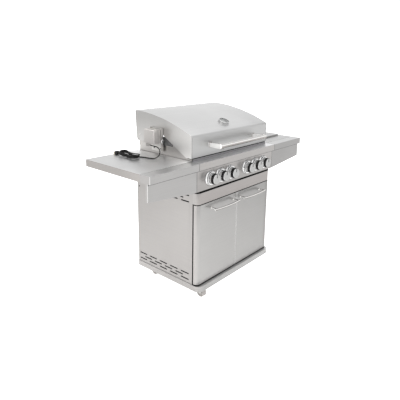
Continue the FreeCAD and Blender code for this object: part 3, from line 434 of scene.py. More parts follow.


# The tones of the brushed finishes below, by facing (up, side, front) and along their fades, are painted
# light, shade and reflection: the lighter bracket, the darker firebox front and right shelf top, and the
# graded doors, sides, shelf and lid ends are painted lighting.
FRONT = (0.324, 0.320, 0.315)
SIDE = (0.367, 0.354, 0.345)
SHELF_SIDE = (0.348, 0.332, 0.320)
UP = grey(0.60)
FINISHES = {
    "rail": brushed("brushed_rail", UP, SIDE, (0.311, 0.292, 0.283), painted_light_fades=(("X", -0.39, 0.39, 1.03, 0.96),)),
    "door": brushed("brushed_door", UP, SIDE, (0.319, 0.314, 0.308),
                    painted_light_fades=(("X", -0.39, 0.34, 1.09, 0.84), ("X", 0.33, 0.37, 1.0, 0.8),
                           ("Z", 0.62, 0.12, 1.0, 1.28))),
    "console": brushed("brushed_console", (0.68, 0.68, 0.69), SIDE, (0.330, 0.318, 0.310), 0.34,
                       painted_light_fades=(("Z", 0.84, 0.74, 1.05, 0.91),)),
    "fascia": brushed("brushed_fascia", UP, (0.350, 0.341, 0.335), (0.334, 0.329, 0.325), 0.34, "x",
                      painted_light_fades=(("X", -0.42, 0.42, 1.03, 0.85),)),
    "side": brushed("brushed_side", UP, SIDE, FRONT, 0.36,
                    painted_light_fades=(("Z", 0.70, 0.12, 0.93, 1.2), ("Y", 0.25, -0.24, 0.96, 1.05))),
    "plinth": brushed("brushed_plinth", UP, (0.460, 0.445, 0.435), (0.414, 0.410, 0.402), 0.4, "x"),
    "top": brushed("brushed_top", UP, SHELF_SIDE, FRONT, 0.42, "x",
                   painted_light_fades=(("X", -0.66, -0.42, 0.95, 1.42), ("Y", -0.02, -0.2, 1.0, 1.14))),
    "right_top": brushed("brushed_right_top", grey(0.50), SHELF_SIDE, FRONT, 0.42, "x"),
    "lid": brushed("brushed_lid", UP, SIDE, (0.41, 0.41, 0.408), 0.38, "x"),
    "lid_end": brushed("brushed_lid_end", UP, (0.430, 0.424, 0.415), FRONT, 0.36, "x",
                       painted_light_fades=(("Y", 0.02, -0.2, 0.95, 1.42), ("Z", 1.12, 0.92, 0.86, 1.26))),
    "bracket": brushed("brushed_bracket", (0.7, 0.69, 0.67), (0.66, 0.65, 0.63), (0.70, 0.68, 0.66), 0.5),
    "cover": brushed("brushed_cover", grey(0.44), SIDE, FRONT, 0.36, "x"),
    "firebox": brushed("brushed_firebox", (0.36, 0.36, 0.37), (0.46, 0.445, 0.43),
                       (0.265, 0.260, 0.268), 0.36, "x"),
    "motor": brushed("brushed_motor", (0.88, 0.85, 0.82), (0.460, 0.443, 0.430),
                     (0.70, 0.675, 0.66), 0.5, "x"),
    "tube": tube("polished_tube_painted_reflections"),
    "polish": polished("polished_bar", (0.74, 0.735, 0.72), 0.16),
    "chrome": polished("chrome_plate", grey(0.82), 0.07, 0.03),
    "case": polished("gauge_chrome", grey(0.52), 0.2, 0.04),
    "rim": polished("bezel_chrome", grey(0.74), 0.16, 0.03),
    # painted highlight: the rolled edges are coloured bright so that they shine as lines
    "hem": polished("hem_painted_highlight", (0.80, 0.80, 0.795), 0.35),
    "knob": knob_finish("knob_parts"),
    "galvanised": galvanised("galvanised", (0.40, 0.41, 0.42)),
    "iron": cast_iron("cast_iron", (0.035, 0.034, 0.034)),
    "heated": heated_steel("heated_steel", (0.50, 0.49, 0.47)),
    "die_cast": die_cast("die_cast", (0.52, 0.52, 0.51)),
    "zinc": die_cast("zinc_plate", (0.72, 0.71, 0.69)),
    "ceramic": ceramic("burner_tile", (0.72, 0.62, 0.48)),
    "black": plastic("black_plastic", grey(0.014), 0.5, 0.12, 0.25),
    # painted shadow: a near-black material for strips and sheets put where there is only shade
    "shadow": plastic("black_painted_shadow", grey(0.004), 0.9, 0.05, 0.05),
    "grey": plastic("grey_plastic", (0.30, 0.29, 0.28), 0.5, 0.12, 0.3),
    # dark joints, and painted shade: the strip under the trim and the motor's cooling grooves also use it
    "seam": plastic("dark_seams_and_painted_shade", grey(0.10), 0.8, 0.05, 0.2),
    "cord": rubber("cord_jacket", grey(0.008), 0.5),
    "tyre": rubber("tyre_rubber", (0.42, 0.40, 0.385), 0.6),
    "brass": polished("brass_blade", (0.72, 0.62, 0.40), 0.25),
    "dial": printed("dial_enamel", grey(0.09)),
    # dark print, and painted shade: the screw recesses and the bezels' dark rings also use it
    "ink": printed("dial_ink_and_painted_shade", grey(0.02)),
    "white": printed("dial_white", grey(0.85)),
    "band": printed("dial_band", grey(0.34)),
    "glass": glass("gauge_glass"),
}


def paint(obj, finish):
    """Give an object one finish in place of all its material slots."""
    obj.data.materials.clear()
    obj.data.materials.append(FINISHES[finish].material)


# ---- which finish each CAD node has, and how wide its edges are eased ------------------------
NODE_FINISH = {
    "rail": ["front_rail"],
    "bracket": ["motor_bracket"],
    "door": ["left_door", "right_door"],
    "console": ["control_console"],
    "fascia": ["left_fascia", "right_fascia"],
    "plinth": ["base_tray"],
    "cover": ["side_burner_cover"],
    "firebox": ["firebox"],
    "side": ["left_side_panel", "right_side_panel"],
    "top": ["left_shelf"],
    "right_top": ["right_shelf"],
    "lid": ["lid_skin"],
    "lid_end": ["lid_left_end", "lid_right_end"],
    "motor": ["motor_housing"],
    "tube": ["lid_handle", "left_door_handle", "right_door_handle"],
    "polish": ["hinge_pins", "lid_screws", "spit_rod", "spit_forks"],
    "chrome": ["knob_bezels", "warming_rack"],
    "case": ["gauge_case"],
    "galvanised": ["back_panel", "grease_tray"],
    "iron": ["cooking_grates", "side_burner_grate"],
    "heated": ["main_burners", "flame_tamers"],
    "ceramic": ["rear_burner"],
    "die_cast": ["gas_manifold", "side_burner_head"],
    "black": ["motor_switch", "panel_screws"],
    "knob": ["knob_%d" % i for i in KNOBS],
    "zinc": ["caster_fork_%d" % i for i in CASTERS],
    "tyre": ["caster_wheel_%d" % i for i in CASTERS],
    "dial": ["gauge_dial"],
    "white": ["gauge_needle"],
    "glass": ["gauge_lens"],
}
EDGE_MM = {"iron": 1.2, "motor": 0.8, "black": 0.5, "zinc": 0.6, "die_cast": 0.8, "knob": 0.6}
EDGE_MM.update(dict.fromkeys(("bracket", "rail", "door", "console", "fascia", "plinth", "cover", "side",
                              "top", "right_top", "lid", "lid_end", "firebox"), 0.5))


def ease_edges(obj, width):
    """Round an object's sharp edges a little, so that they catch the light."""
    weld = obj.modifiers.new("weld", "WELD")
    weld.merge_threshold = 1e-5
    bevel = obj.modifiers.new("bevel", "BEVEL")
    bevel.width = width
    bevel.segments = 2
    bevel.limit_method = "ANGLE"
    bevel.angle_limit = math.radians(40)
    bevel.use_clamp_overlap = True
    bevel.harden_normals = True


def dress_nodes():
    """Give every CAD node that stays its finish and its eased edges."""
    for finish, names in NODE_FINISH.items():
        for name in names:
            paint(nodes[name], finish)
            if finish in EDGE_MM:
                ease_edges(nodes[name], EDGE_MM[finish] * MM)


# ---- pieces -------------------------------------------------------------------------------
def piece(name, bm, finish, body, smooth=35):
    """A new object from a bmesh, with its finish, riding on a body."""
    mesh = bpy.data.meshes.new(name)
    bm.normal_update()
    bm.to_mesh(mesh)
    bm.free()
    for polygon in mesh.polygons:
        polygon.use_smooth = True
    mesh.set_sharp_from_angle(angle=math.radians(smooth))
    obj = bpy.data.objects.new(name, mesh)
    bpy.context.scene.collection.objects.link(obj)
    paint(obj, finish)
    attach(obj, body)
    return obj


def frame_on(place, axis):
    """A matrix at a place whose Z lies along an axis."""
    return Matrix.Translation(place) @ Vector(axis).to_track_quat("Z", "Y").to_matrix().to_4x4()


def add_lathe(bm, profile, place, axis, steps):
    """A turned shape: profile is (radius, height) in millimetres from bottom to top; a radius of 0
    closes an end."""
    to = frame_on(place, axis)
    rings = []
    for radius, height in ((r * MM, h * MM) for r, h in profile):
        if radius == 0:
            rings.append([bm.verts.new(to @ Vector((0, 0, height)))])
        else:
            rings.append([bm.verts.new(to @ Vector((radius * math.cos(a), radius * math.sin(a), height)))
                          for a in (2 * math.pi * i / steps for i in range(steps))])
    for low, high in zip(rings, rings[1:]):
        for i in range(steps):
            j = (i + 1) % steps
            if len(low) == 1:
                bm.faces.new((low[0], high[j], high[i]))
            elif len(high) == 1:
                bm.faces.new((low[i], low[j], high[0]))
            else:
                bm.faces.new((low[i], low[j], high[j], high[i]))


def add_block(bm, low, high, ease):
    """A box between two corners, in metres, with its edges eased by so many millimetres."""
    low, high = Vector(low), Vector(high)
    made = bmesh.ops.create_cube(bm, size=1.0)["verts"]
    to = Matrix.Translation((low + high) / 2) @ Matrix.Diagonal((*(high - low), 1))
    bmesh.ops.transform(bm, matrix=to, verts=made)
    edges = list(dict.fromkeys(e for v in made for e in v.link_edges))
    bmesh.ops.bevel(bm, geom=edges, offset=ease * MM, segments=3, profile=0.5, affect="EDGES")


def add_line(bm, xs, ys, zs):
    """A thin line as a block between drawing coordinates, each given as a pair."""
    low, high = zip(sorted(xs), sorted(ys), sorted(zs))
    add_block(bm, at(*low), at(*high), 0.1)


def add_ribbon(bm, path, low, high, thick):
    """An upright strip along a plan path, in drawing millimetres."""
    rows = []
    for i, (x, y) in enumerate(path):
        before, after = path[max(i - 1, 0)], path[min(i + 1, len(path) - 1)]
        along = Vector((after[0] - before[0], after[1] - before[1], 0)).normalized()
        across = Vector((-along.y, along.x, 0)) * thick / 2
        rows.append([bm.verts.new(at(x + side * across.x, y + side * across.y, z))
                     for side, z in ((-1, low), (1, low), (1, high), (-1, high))])
    for here, there in zip(rows, rows[1:]):
        for k in range(4):
            j = (k + 1) % 4
            bm.faces.new((here[k], there[k], there[j], here[j]))
    bm.faces.new(rows[0])
    bm.faces.new(rows[-1][::-1])


# ---- the cord, which lies on the left shelf --------------------------------------------------
CORD_D = 0.0065
ROUTE = [(-461, 330, 967), (-462, 297, 966.5), (-462, 264, 965), (-466, 238, 948),
         (-481, 230, 921), (-503, 244, 903.6), (-517, 274, 903.6), (-521, 310, 903.6),
         (-533, 345, 903.6), (-552, 376, 903.6)]
HANK_MIDDLE, LAY_Z, TURN_PITCH = (-578.0, 390.0), 903.6, 9.3
LOOP_LIFT = (13.5, 3.0)                   # how far the loops stand up at the back and at the front
STRAIGHT, LOOP_GROW, LOOP_ANGLES = 24.0, 1.14, (90, 43, 0, -43, -90)
# each turn: loop radius, half length, half width at the tie, and how far its back and front loops swing
TURNS = [(29.8, 75.3, 13.2, 0.03, -0.04), (29.8, 74.1, 11.6, -0.03, 0.03),
         (21.7, 67.8, 5.0, 0.03, 0.04), (21.8, 68.4, 7.0, -0.03, -0.03)]
TAIL = [(-574, 402, 903.6), (-577, 430, 903.6), (-581, 452, 904.5), (-584, 470, 909.5), (-584, 484, 912.3)]


def smooth_step(t):
    """0 to 1 with a soft start and end."""
    t = min(1.0, max(0.0, t))
    return t * t * (3 - 2 * t)


def turn_plan(radius, half, waist):
    """One turn's plan points from the right of the tie: back loop, left side, front loop, right side."""
    centre = half - radius
    side = waist + (radius - waist) * smooth_step(STRAIGHT / centre)
    big = radius * LOOP_GROW
    loop = [(big * math.sin(math.radians(a)), centre + big * math.cos(math.radians(a))) for a in LOOP_ANGLES]
    return ([(side, STRAIGHT)] + loop + [(-side, STRAIGHT), (-side, -STRAIGHT)]
            + [(-x, -y) for x, y in loop] + [(side, -STRAIGHT)])


def hank_points():
    """The tied turns: they climb to the middle of the winding and come down again inside."""
    points = []
    for turn, (radius, half, waist, swing_back, swing_front) in enumerate(TURNS):
        plan = turn_plan(radius, half, waist)
        for step, (x, y) in enumerate(plan):
            wound = turn + step / len(plan)
            level = min(wound, len(TURNS) - wound) * TURN_PITCH
            share = smooth_step(abs(y) / half)
            swing = (swing_back if y > 0 else swing_front) * share
            lift = LOOP_LIFT[0 if y > 0 else 1] * share
            points.append((HANK_MIDDLE[0] + x * math.cos(swing) - y * math.sin(swing),
                           HANK_MIDDLE[1] + x * math.sin(swing) + y * math.cos(swing), LAY_Z + level + lift))
    return points


def make_cord():
    """The whole cord as one spline: the loop under the motor, the tied hank and the tail to the plug."""
    points = [at(*p) for p in ROUTE + hank_points() + TAIL]
    data = bpy.data.curves.new("power_lead", "CURVE")
    data.dimensions = "3D"
    spline = data.splines.new("NURBS")
    spline.points.add(len(points) - 1)
    for point, place in zip(spline.points, points):
        point.co = (*place, 1.0)
    spline.order_u = 3
    spline.use_endpoint_u = True
    spline.resolution_u = 8
    data.bevel_depth = CORD_D / 2
    data.bevel_resolution = 4
    data.use_fill_caps = True
    cord = bpy.data.objects.new("power_lead", data)
    bpy.context.scene.collection.objects.link(cord)
    cord.data.materials.append(FINISHES["cord"].material)
    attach(cord, "cart")
    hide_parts("power_cord", "cord_hank")
    return cord


def make_strain_relief():
    """A ribbed, tapered sleeve under the motor, and the block that holds it."""
    block_front, ribs, length = 344, 7, 18
    low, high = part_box("cord_gland")
    bm = bmesh.new()
    add_block(bm, (low.x + 0.5 * MM, at(0, block_front, 0).y, low.z),
              (high.x - 0.5 * MM, high.y, high.z - 0.3 * MM), 1.2)
    profile = [(0, -24), (6.2, -24), (6.8, -19)]
    for rib in range(ribs):
        back = -length + rib * length / ribs
        outer = 6.6 - 1.9 * rib / ribs
        profile += [(outer, back), (outer, back + 1.5), (outer - 0.9, back + 1.7), (outer - 0.9, back + 2.4)]
    profile += [(4.0, 0), (3.3, 1.5), (0, 1.5)]
    ahead = (Vector(ROUTE[1]) - Vector(ROUTE[0])).normalized()
    add_lathe(bm, profile, at(*ROUTE[0]), ahead, 28)
    sleeve = piece("strain_relief", bm, "grey", "cart")
    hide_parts("cord_gland")
    return sleeve


def make_plug():
    """A moulded plug: ribbed sleeve, waisted body with a grip, two flat blades and a round pin."""
    low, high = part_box("power_plug")
    x, z = (low.x + high.x) / 2, (low.z + high.z) / 2
    front = low.y
    bm = bmesh.new()
    profile = [(0, 1), (3.4, 1), (4.4, 2)]
    for rib in range(4):
        back, outer = 3 + rib * 3.0, 4.5 + 0.7 * rib
        profile += [(outer, back), (outer, back + 1.6), (outer - 0.8, back + 1.9), (outer - 0.8, back + 2.8)]
    profile += [(8.2, 15.5), (0, 15.5)]
    add_lathe(bm, profile, (x, front, z), (0, 1, 0), 28)
    add_block(bm, (low.x, front + 14 * MM, low.z), (high.x, front + 40 * MM, high.z - 0.2 * MM), 4.5)
    for row in range(4):
        y = front + (20 + 4 * row) * MM
        add_block(bm, (low.x + 5 * MM, y, high.z - 1.0 * MM), (high.x - 5 * MM, y + 1.8 * MM, high.z), 0.4)
    body = piece("mains_plug", bm, "black", "cart")
    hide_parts("power_plug")
    bm = bmesh.new()
    face, tip = front + 39 * MM, front + 57 * MM
    for blade in (-6.35 * MM, 6.35 * MM):
        add_block(bm, (x + blade - 0.75 * MM, face, z - 3 * MM),
                  (x + blade + 0.75 * MM, tip, z + 3 * MM), 0.3)
    add_lathe(bm, [(0, 0), (2.4, 0), (2.4, 18.5), (1.4, 20.8), (0, 20.8)],
              (x, face, z - 8 * MM), (0, 1, 0), 20)
    return body, piece("plug_blades", bm, "brass", "cart")


def make_tie():
    """A twisted wire tie round the waist of the hank."""
    half_w, low, high = 20.0, 901.0, 929.0
    steps, section, squareness = 48, 10, 0.6
    bm = bmesh.new()
    rings = []
    for i in range(steps):
        a = 2 * math.pi * i / steps
        rise = abs(math.sin(a)) ** squareness * math.copysign(1, math.sin(a))
        run = abs(math.cos(a)) ** squareness * math.copysign(1, math.cos(a))
        centre = Vector((HANK_MIDDLE[0] + half_w * run, HANK_MIDDLE[1] + 0.8 * math.sin(3 * a),
                         (low + high) / 2 + (high - low) / 2 * rise))
        out = Vector((run, 0, rise)).normalized()
        around = [2 * math.pi * k / section for k in range(section)]
        places = [centre + out * 0.9 * math.cos(b) + Vector((0, 2.4 * math.sin(b), 0)) for b in around]
        rings.append([bm.verts.new(at(*place)) for place in places])
    for ring, following in zip(rings, rings[1:] + rings[:1]):
        for k in range(section):
            j = (k + 1) % section
            bm.faces.new((ring[k], ring[j], following[j], following[k]))
    for ear in (-1, 1):
        base = at(HANK_MIDDLE[0] + ear * 3, HANK_MIDDLE[1] + ear * 1.5, high + 0.5)
        add_lathe(bm, [(0, 0), (1.3, 0.2), (1.1, 9), (0, 9.6)], base, (ear * 0.8, ear * 0.3, 0.6), 12)
    return piece("hank_tie", bm, "black", "cart")


# ---- painted shadow strips, spit shield and seams ------------------------------------------
def front_plan(inset, back):
    """A plan path round the cabinet's front, from left to right, inset from the doors' faces."""
    half, radius = CABINET_HALF - inset, CORNER_R - inset
    arc = [math.radians(a) for a in range(0, 91, 10)]
    left = [(-half, back)] + [(-half + radius - radius * math.cos(a), inset + radius - radius * math.sin(a))
                              for a in arc]
    return left + [(-x, y) for x, y in reversed(left)]


def make_painted_shadows():
    """Near-black strips of painted shadow: in the gaps round the doors, over the fixed band, under the lid
    and behind the side vents.
    """
    bm = bmesh.new()
    # painted shadow: near-black strips in the gaps under and over the doors and between the doors and the
    # side panels
    for low, high in ((BASE_TOP + 0.2, DOOR_LOW - 0.2), (DOOR_HIGH + 0.2, RAIL_LOW - 0.2)):
        add_ribbon(bm, front_plan(0.8, 37), low, high, 1.6)
    for side in (-1, 1):
        add_ribbon(bm, [(side * 388.6, 40), (side * 372, 40)], BASE_TOP + 1, RAIL_LOW - 1, 2.6)
    piece("door_gap_painted_shadow", bm, "shadow", "cart")

    # painted shadow: near-black strips along each door's bottom and top edges, darkening the lines under and
    # over it
    outline = front_plan(-0.2, 36)
    corner = outline[:len(outline) // 2] + [(-4.5, -0.2)]
    for side, body in ((-1, "left_door"), (1, "right_door")):
        bm = bmesh.new()
        for low, high in ((DOOR_LOW + 0.1, DOOR_LOW + 2.4), (DOOR_HIGH - 1.6, DOOR_HIGH - 0.1)):
            add_ribbon(bm, [(-side * x, y) for x, y in corner], low, high, 0.8)
        piece(body + "_edge", bm, "shadow", body)

    # painted shadow: a near-black strip in the gap between the fixed band and the control panel
    bm = bmesh.new()
    add_ribbon(bm, front_plan(0.7, 34), RAIL_HIGH + 0.2, PANEL_LOW - 0.4, 1.2)
    piece("panel_gap_painted_shadow", bm, "shadow", "cart")

    # painted shadow: near-black strips under the lid's front and end edges
    bm = bmesh.new()
    add_ribbon(bm, [(-384, LID_FRONT + 3.5), (384, LID_FRONT + 3.5)], WORKTOP + 5, LID_LOW - 0.6, 2.4)
    for side in (-1, 1):
        add_ribbon(bm, [(side * 391, 53), (side * 391, 84)], LID_LOW - 5.4, LID_LOW - 1, 2)
    piece("lid_gap_painted_shadow", bm, "shadow", "cart")

    # painted shade: near-black sheets behind the side vents, seen through the slots
    bm = bmesh.new()
    lower_vents, upper_vents = ((58, 538), (116, 184)), ((58, 446), (631, 699))
    for side in (-1, 1):
        x = side * (CABINET_HALF - 2.6)
        flange = x + side * 0.4
        for (y0, y1), (z0, z1) in (lower_vents, upper_vents):
            add_ribbon(bm, [(x, y0), (x, y1)], z0, z1, 0.8)
            for z in (z0, z1):
                add_ribbon(bm, [(flange, y0), (flange, y1)], z - 0.5, z + 0.5, 1.6)
    piece("vent_painted_shadow", bm, "shadow", "cart")


def make_spit_shield():
    """A formed plate inside the left cheek that closes the gap in front of the spit."""
    plate, rib_inner, rib_outer = -386.0, -386.6, -388.2
    bm = bmesh.new()
    add_ribbon(bm, [(-372, 206), (plate, 212), (plate, 306), (-372, 312)], 962, 1016, 1.2)
    for y in (232, 258, 284):
        add_ribbon(bm, [(rib_inner, y - 3), (rib_outer, y - 1.5), (rib_outer, y + 1.5), (rib_inner, y + 3)],
                   968, 1010, 0.8)
    piece("spit_shield", bm, "seam", "cart")


def make_seams():
    """Fine dark joints between the console, the fascias and the shelves, and at the lid's front edges, and a
    strip of painted shadow under the trim.
    """
    # the strip under the trim is a painted shadow of the trim's step; the other lines are joints
    shadow_under_trim = (TRIM_LOW - 9.8, TRIM_LOW + 0.2)
    on_top = (WORKTOP - 0.1, WORKTOP + 0.2)
    bm = bmesh.new()
    for side in (-1, 1):
        x = side * (CONSOLE_HALF + 0.3)
        joint = (x - 1.5, x + 1.5)
        add_line(bm, joint, (PANEL_FRONT - 0.25, PANEL_FRONT + 0.1), (PANEL_LOW + 1, TRIM_LOW - 0.5))
        add_line(bm, joint, (TRIM_FRONT - 0.25, TRIM_FRONT + 0.1), (TRIM_LOW + 1, WORKTOP - 0.2))
        add_line(bm, (x - 0.9, x + 0.9), (TRIM_FRONT + 0.5, TRIM_BACK - 0.5), on_top)
        add_line(bm, (side * (CONSOLE_HALF + 1), side * (SHELF_END - 5)),
                 (PANEL_FRONT - 0.3, PANEL_FRONT + 0.1), shadow_under_trim)
        add_line(bm, (side * (CABINET_HALF + 1), side * (SHELF_END - 1)),
                 (TRIM_BACK - 0.9, TRIM_BACK + 0.6), on_top)
    add_line(bm, (1 - CONSOLE_HALF, CONSOLE_HALF - 1), (PANEL_FRONT - 0.4, PANEL_FRONT + 0.1), shadow_under_trim)
    piece("panel_seams", bm, "seam", "cart")
    bm = bmesh.new()
    for side in (-1, 1):
        add_line(bm, (side * (LID_HALF - 5.6), side * (LID_HALF - 3.6)), (LID_FRONT - 0.3, LID_FRONT + 0.2),
                 (LID_LOW + 1.5, LID_FOLD - 10))
    piece("lid_seams", bm, "seam", "lid")


def make_hems():
    """Rolled edges at the ends of the trim and the aprons, and at the doors' meeting edges, coloured bright
    as a painted highlight.
    """
    up = (0, 0, 1)
    bm = bmesh.new()
    for side in (-1, 1):
        x = side * (SHELF_END - 2.4)
        add_lathe(bm, [(0, 0), (1.5, 0.4), (1.5, 42), (0, 42.4)],
                  at(x, TRIM_FRONT + 0.4, TRIM_LOW + 0.2), up, 16)
        add_lathe(bm, [(0, 0), (1.5, 0.4), (1.5, 98), (0, 98.6)],
                  at(x, PANEL_FRONT + 0.4, APRON_END + 1), up, 16)
    piece("rolled_hems", bm, "hem", "cart")
    for side, body in ((-1, "left_door"), (1, "right_door")):
        bm = bmesh.new()
        add_lathe(bm, [(0, 0), (0.8, 0.5), (0.8, 521), (0, 521.5)],
                  at(side * 2.7, 0.4, DOOR_LOW + 1.2), up, 12)
        piece(body + "_hem", bm, "hem", body)


# ---- knobs, gauge and fasteners -------------------------------------------------------------
def make_knob_grips():
    """A fluted ring round each knob."""
    flutes, steps, wave = 30, 180, 0.35
    rows = ((-43.2, -0.2), (-43.8, 0.5), (-53.2, 0.5), (-53.9, -0.2))    # depth, and how far past the grip
    height = at(0, 0, KNOB_Z).z
    for number in KNOBS:
        knob = "knob_%d" % number
        axis = middle(knob)
        bm = bmesh.new()
        rings = []
        for depth, swell in rows:
            ring = []
            for i in range(steps):
                a = 2 * math.pi * i / steps
                radius = (GRIP_R + swell + wave * math.cos(flutes * a)) * MM
                ring.append(bm.verts.new(Vector((axis.x + radius * math.cos(a), at(0, depth, 0).y,
                                                 height + radius * math.sin(a)))))
            rings.append(ring)
        for low, high in zip(rings, rings[1:]):
            for i in range(steps):
                j = (i + 1) % steps
                bm.faces.new((low[i], high[i], high[j], low[j]))
        piece("knob_grip_%d" % number, bm, "black", knob, smooth=60)


RIM = [(40.6, 0.1), (46.4, 0.1), (46.6, 1.4), (45.4, 2.6), (43.0, 8.6), (41.9, 9.2), (40.6, 9.3)]
LIP = [(38.6, 10.9), (41.6, 11.0), (41.9, 12.0), (40.6, 16.4), (38.9, 17.4), (36.3, 17.3), (36.0, 16.2)]
# dark rings: painted shade in the groove between rim and lip, and painted shadow round the rim's foot
PAINTED_SHADE_RINGS = ([(40.9, 9.0), (41.0, 9.4), (41.0, 10.9), (40.8, 11.2)],
           [(46.2, 0.05), (47.4, 0.1), (47.3, 0.5), (46.5, 0.7)])


def make_bezel_rims():
    """A stepped flange round each bezel, with dark rings: painted shade in the groove under its lip and
    painted shadow round its foot.
    """
    rims, grooves = bmesh.new(), bmesh.new()
    for number in KNOBS:
        place = Vector((middle("knob_%d" % number).x, *at(0, PANEL_FRONT, KNOB_Z).yz))
        for profile in (RIM, LIP):
            add_lathe(rims, profile, place, (0, -1, 0), 64)
        for profile in PAINTED_SHADE_RINGS:
            add_lathe(grooves, profile, place, (0, -1, 0), 64)
    piece("bezel_rims", rims, "rim", "cart")
    piece("bezel_painted_shade_rings", grooves, "ink", "cart")


def gauge_frame():
    """The gauge's seat, with its outward, rightward and upward directions, from its needle joint."""
    joint = next(j for j in frame["record"]["behaviour"]["joints"] if j["name"] == "gauge_needle_turn")
    out, across = -Vector(joint["axis"]), Vector((1, 0, 0))
    return Vector(joint["pos_m"]), out, across, out.cross(across)


def make_gauge_print():
    """Scale ticks, a grey band, the needle's hub cap and the flange round the case."""
    seat, out, across, up = gauge_frame()
    face = seat + out * DIAL_FACE * MM

    def radial(degrees):
        a = math.radians(degrees)
        return across * math.cos(a) + up * math.sin(a)

    bm = bmesh.new()
    for i in range(28):
        ray = radial(225 - 10 * i)
        tangent = out.cross(ray)
        inner, half = (21, 0.55) if i % 3 == 0 else (24, 0.3)
        corners = [face + (ray * r + tangent * t) * MM
                   for r, t in ((inner, -half), (27.5, -half), (27.5, half), (inner, half))]
        low = [bm.verts.new(c) for c in corners]
        high = [bm.verts.new(c + out * 0.12 * MM) for c in corners]
        bm.faces.new(high)
        for k in range(4):
            j = (k + 1) % 4
            bm.faces.new((low[k], low[j], high[j], high[k]))
    piece("gauge_scale", bm, "white", "lid")

    bm = bmesh.new()
    steps = 40
    lift = out * 0.06 * MM
    rows = [[bm.verts.new(face + radial(120 - 90 * i / steps) * r * MM + lift) for r in (16.5, 19.5)]
            for i in range(steps + 1)]
    for a, b in zip(rows, rows[1:]):
        bm.faces.new((a[0], a[1], b[1], b[0]))
    piece("gauge_band", bm, "band", "lid")

    bm = bmesh.new()
    add_lathe(bm, [(0, 0), (3.6, 0), (3.6, 0.8), (2.6, 1.5), (0, 1.7)],
              seat + out * NEEDLE_FACE * MM, out, 24)
    piece("gauge_hub", bm, "ink", "gauge_needle")
    bm = bmesh.new()
    add_lathe(bm, [(34.0, -2.5), (40.8, -2.5), (41.2, 0.9), (40.4, 1.9), (37.5, 2.4), (35.5, 2.4)],
              seat, out, 56)
    piece("gauge_flange", bm, "case", "lid")


def add_cross(bm, place, axis, reach=2.4):
    """A cross recess drawn as two crossed dark bars on a screw head: painted shade in the recess."""
    to = frame_on(place, axis)
    size = Matrix.Diagonal((reach * 2 * MM, reach * 0.5 * MM, 0.4 * MM, 1))
    for turn in (0, math.pi / 2):
        made = bmesh.ops.create_cube(bm, size=1.0)["verts"]
        bmesh.ops.transform(bm, matrix=to @ Matrix.Rotation(turn + 0.4, 4, "Z") @ size, verts=made)


def make_screw_marks():
    """The recesses of the side, bracket and lid screws, as dark crosses of painted shade."""
    bm = bmesh.new()
    for side in (-1, 1):
        for z in (650, 715):
            add_cross(bm, at(side * (CABINET_HALF + 2.25), 526, z), (side, 0, 0))
    for y in (305, 363):
        add_cross(bm, at(-402.75, y, 940), (-1, 0, 0))
    piece("panel_screw_marks", bm, "ink", "cart")
    bm = bmesh.new()
    for side in (-1, 1):
        for y, z in ((458, 1010), (505, 1008)):
            add_cross(bm, at(side * (LID_HALF + 2.25), y, z), (side, 0, 0))
    piece("lid_screw_marks", bm, "ink", "lid")


def make_collars():
    """Stepped collars at the feet of the door handles, and domed ends on the lid handle."""
    for side, hand in ((-1, "left"), (1, "right")):
        bm = bmesh.new()
        for x in DOOR_HANDLE_FEET:
            add_lathe(bm, [(9.6, 0), (9.6, 1.4), (8, 3), (6.6, 4.6), (5.6, 9)],
                      at(side * x, 0, DOOR_HANDLE_Z), (0, -1, 0), 32)
        piece(hand + "_handle_collars", bm, "polish", hand + "_door")
    bm = bmesh.new()
    for side in (-1, 1):
        add_lathe(bm, [(16.4, 0), (16.9, 0.6), (15.5, 2.2), (9, 3.8), (0, 4.3)],
                  at(side * (HANDLE_HALF + 0.6), HANDLE_Y, HANDLE_Z), (side, 0, 0), 36)
    piece("lid_handle_caps", bm, "tube", "lid")


# ---- motor ----------------------------------------------------------------------------------
def make_motor_details():
    """The housing's joint line, cooling grooves drawn as dark bars of painted shade, case screws and clamp
    screw.
    """
    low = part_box("motor_housing")[0]
    right, front, top = at(MOTOR_RIGHT, MOTOR_FRONT, MOTOR_TOP)
    left, bottom, back = low.x, low.z, at(0, MOTOR_BACK, 0).y
    joint = left + 0.62 * (right - left)
    proud, sunk, wide = 0.25 * MM, 0.3 * MM, 0.7 * MM
    bm = bmesh.new()
    add_block(bm, (joint - wide, front - proud, top - sunk), (joint + wide, back + proud, top + proud), 0.1)
    add_block(bm, (joint - wide, front - proud, bottom), (joint + wide, front + sunk, top), 0.1)
    # the cooling grooves: dark bars on the top, painted shade in the grooves
    for i in range(6):
        y = front + (0.28 + 0.09 * i) * (back - front)
        add_block(bm, (left + 10 * MM, y - 1.1 * MM, top - sunk),
                  (joint - 8 * MM, y + 1.1 * MM, top + proud), 0.3)
    piece("motor_joint_lines", bm, "seam", "cart")
    bm = bmesh.new()
    for z in (bottom + 9 * MM, top - 9 * MM):
        add_lathe(bm, [(3.4, 0), (3.4, 0.8), (2.2, 1.6), (0, 1.8)], (left + 7 * MM, front, z), (0, -1, 0), 20)
    add_lathe(bm, [(0, -6), (4, -6), (4, 2), (12.5, 2.4), (13.4, 4), (13.4, 9), (11.5, 11), (0, 11.6)],
              at(-408, 284, 990), (0, -1, 0), 30)
    piece("motor_screws", bm, "chrome", "cart")


def make_caster_nuts():
    """Domed nuts at both ends of every axle."""
    for number in CASTERS:
        hub = middle("caster_wheel_%d" % number)
        bm = bmesh.new()
        for side in (-1, 1):
            add_lathe(bm, [(6.5, -1.4), (6.5, 1.2), (5, 3), (0, 4)],
                      (hub.x + side * 18 * MM, hub.y, hub.z), (side, 0, 0), 6)
        piece("caster_nuts_%d" % number, bm, "zinc", "caster_fork_%d" % number)


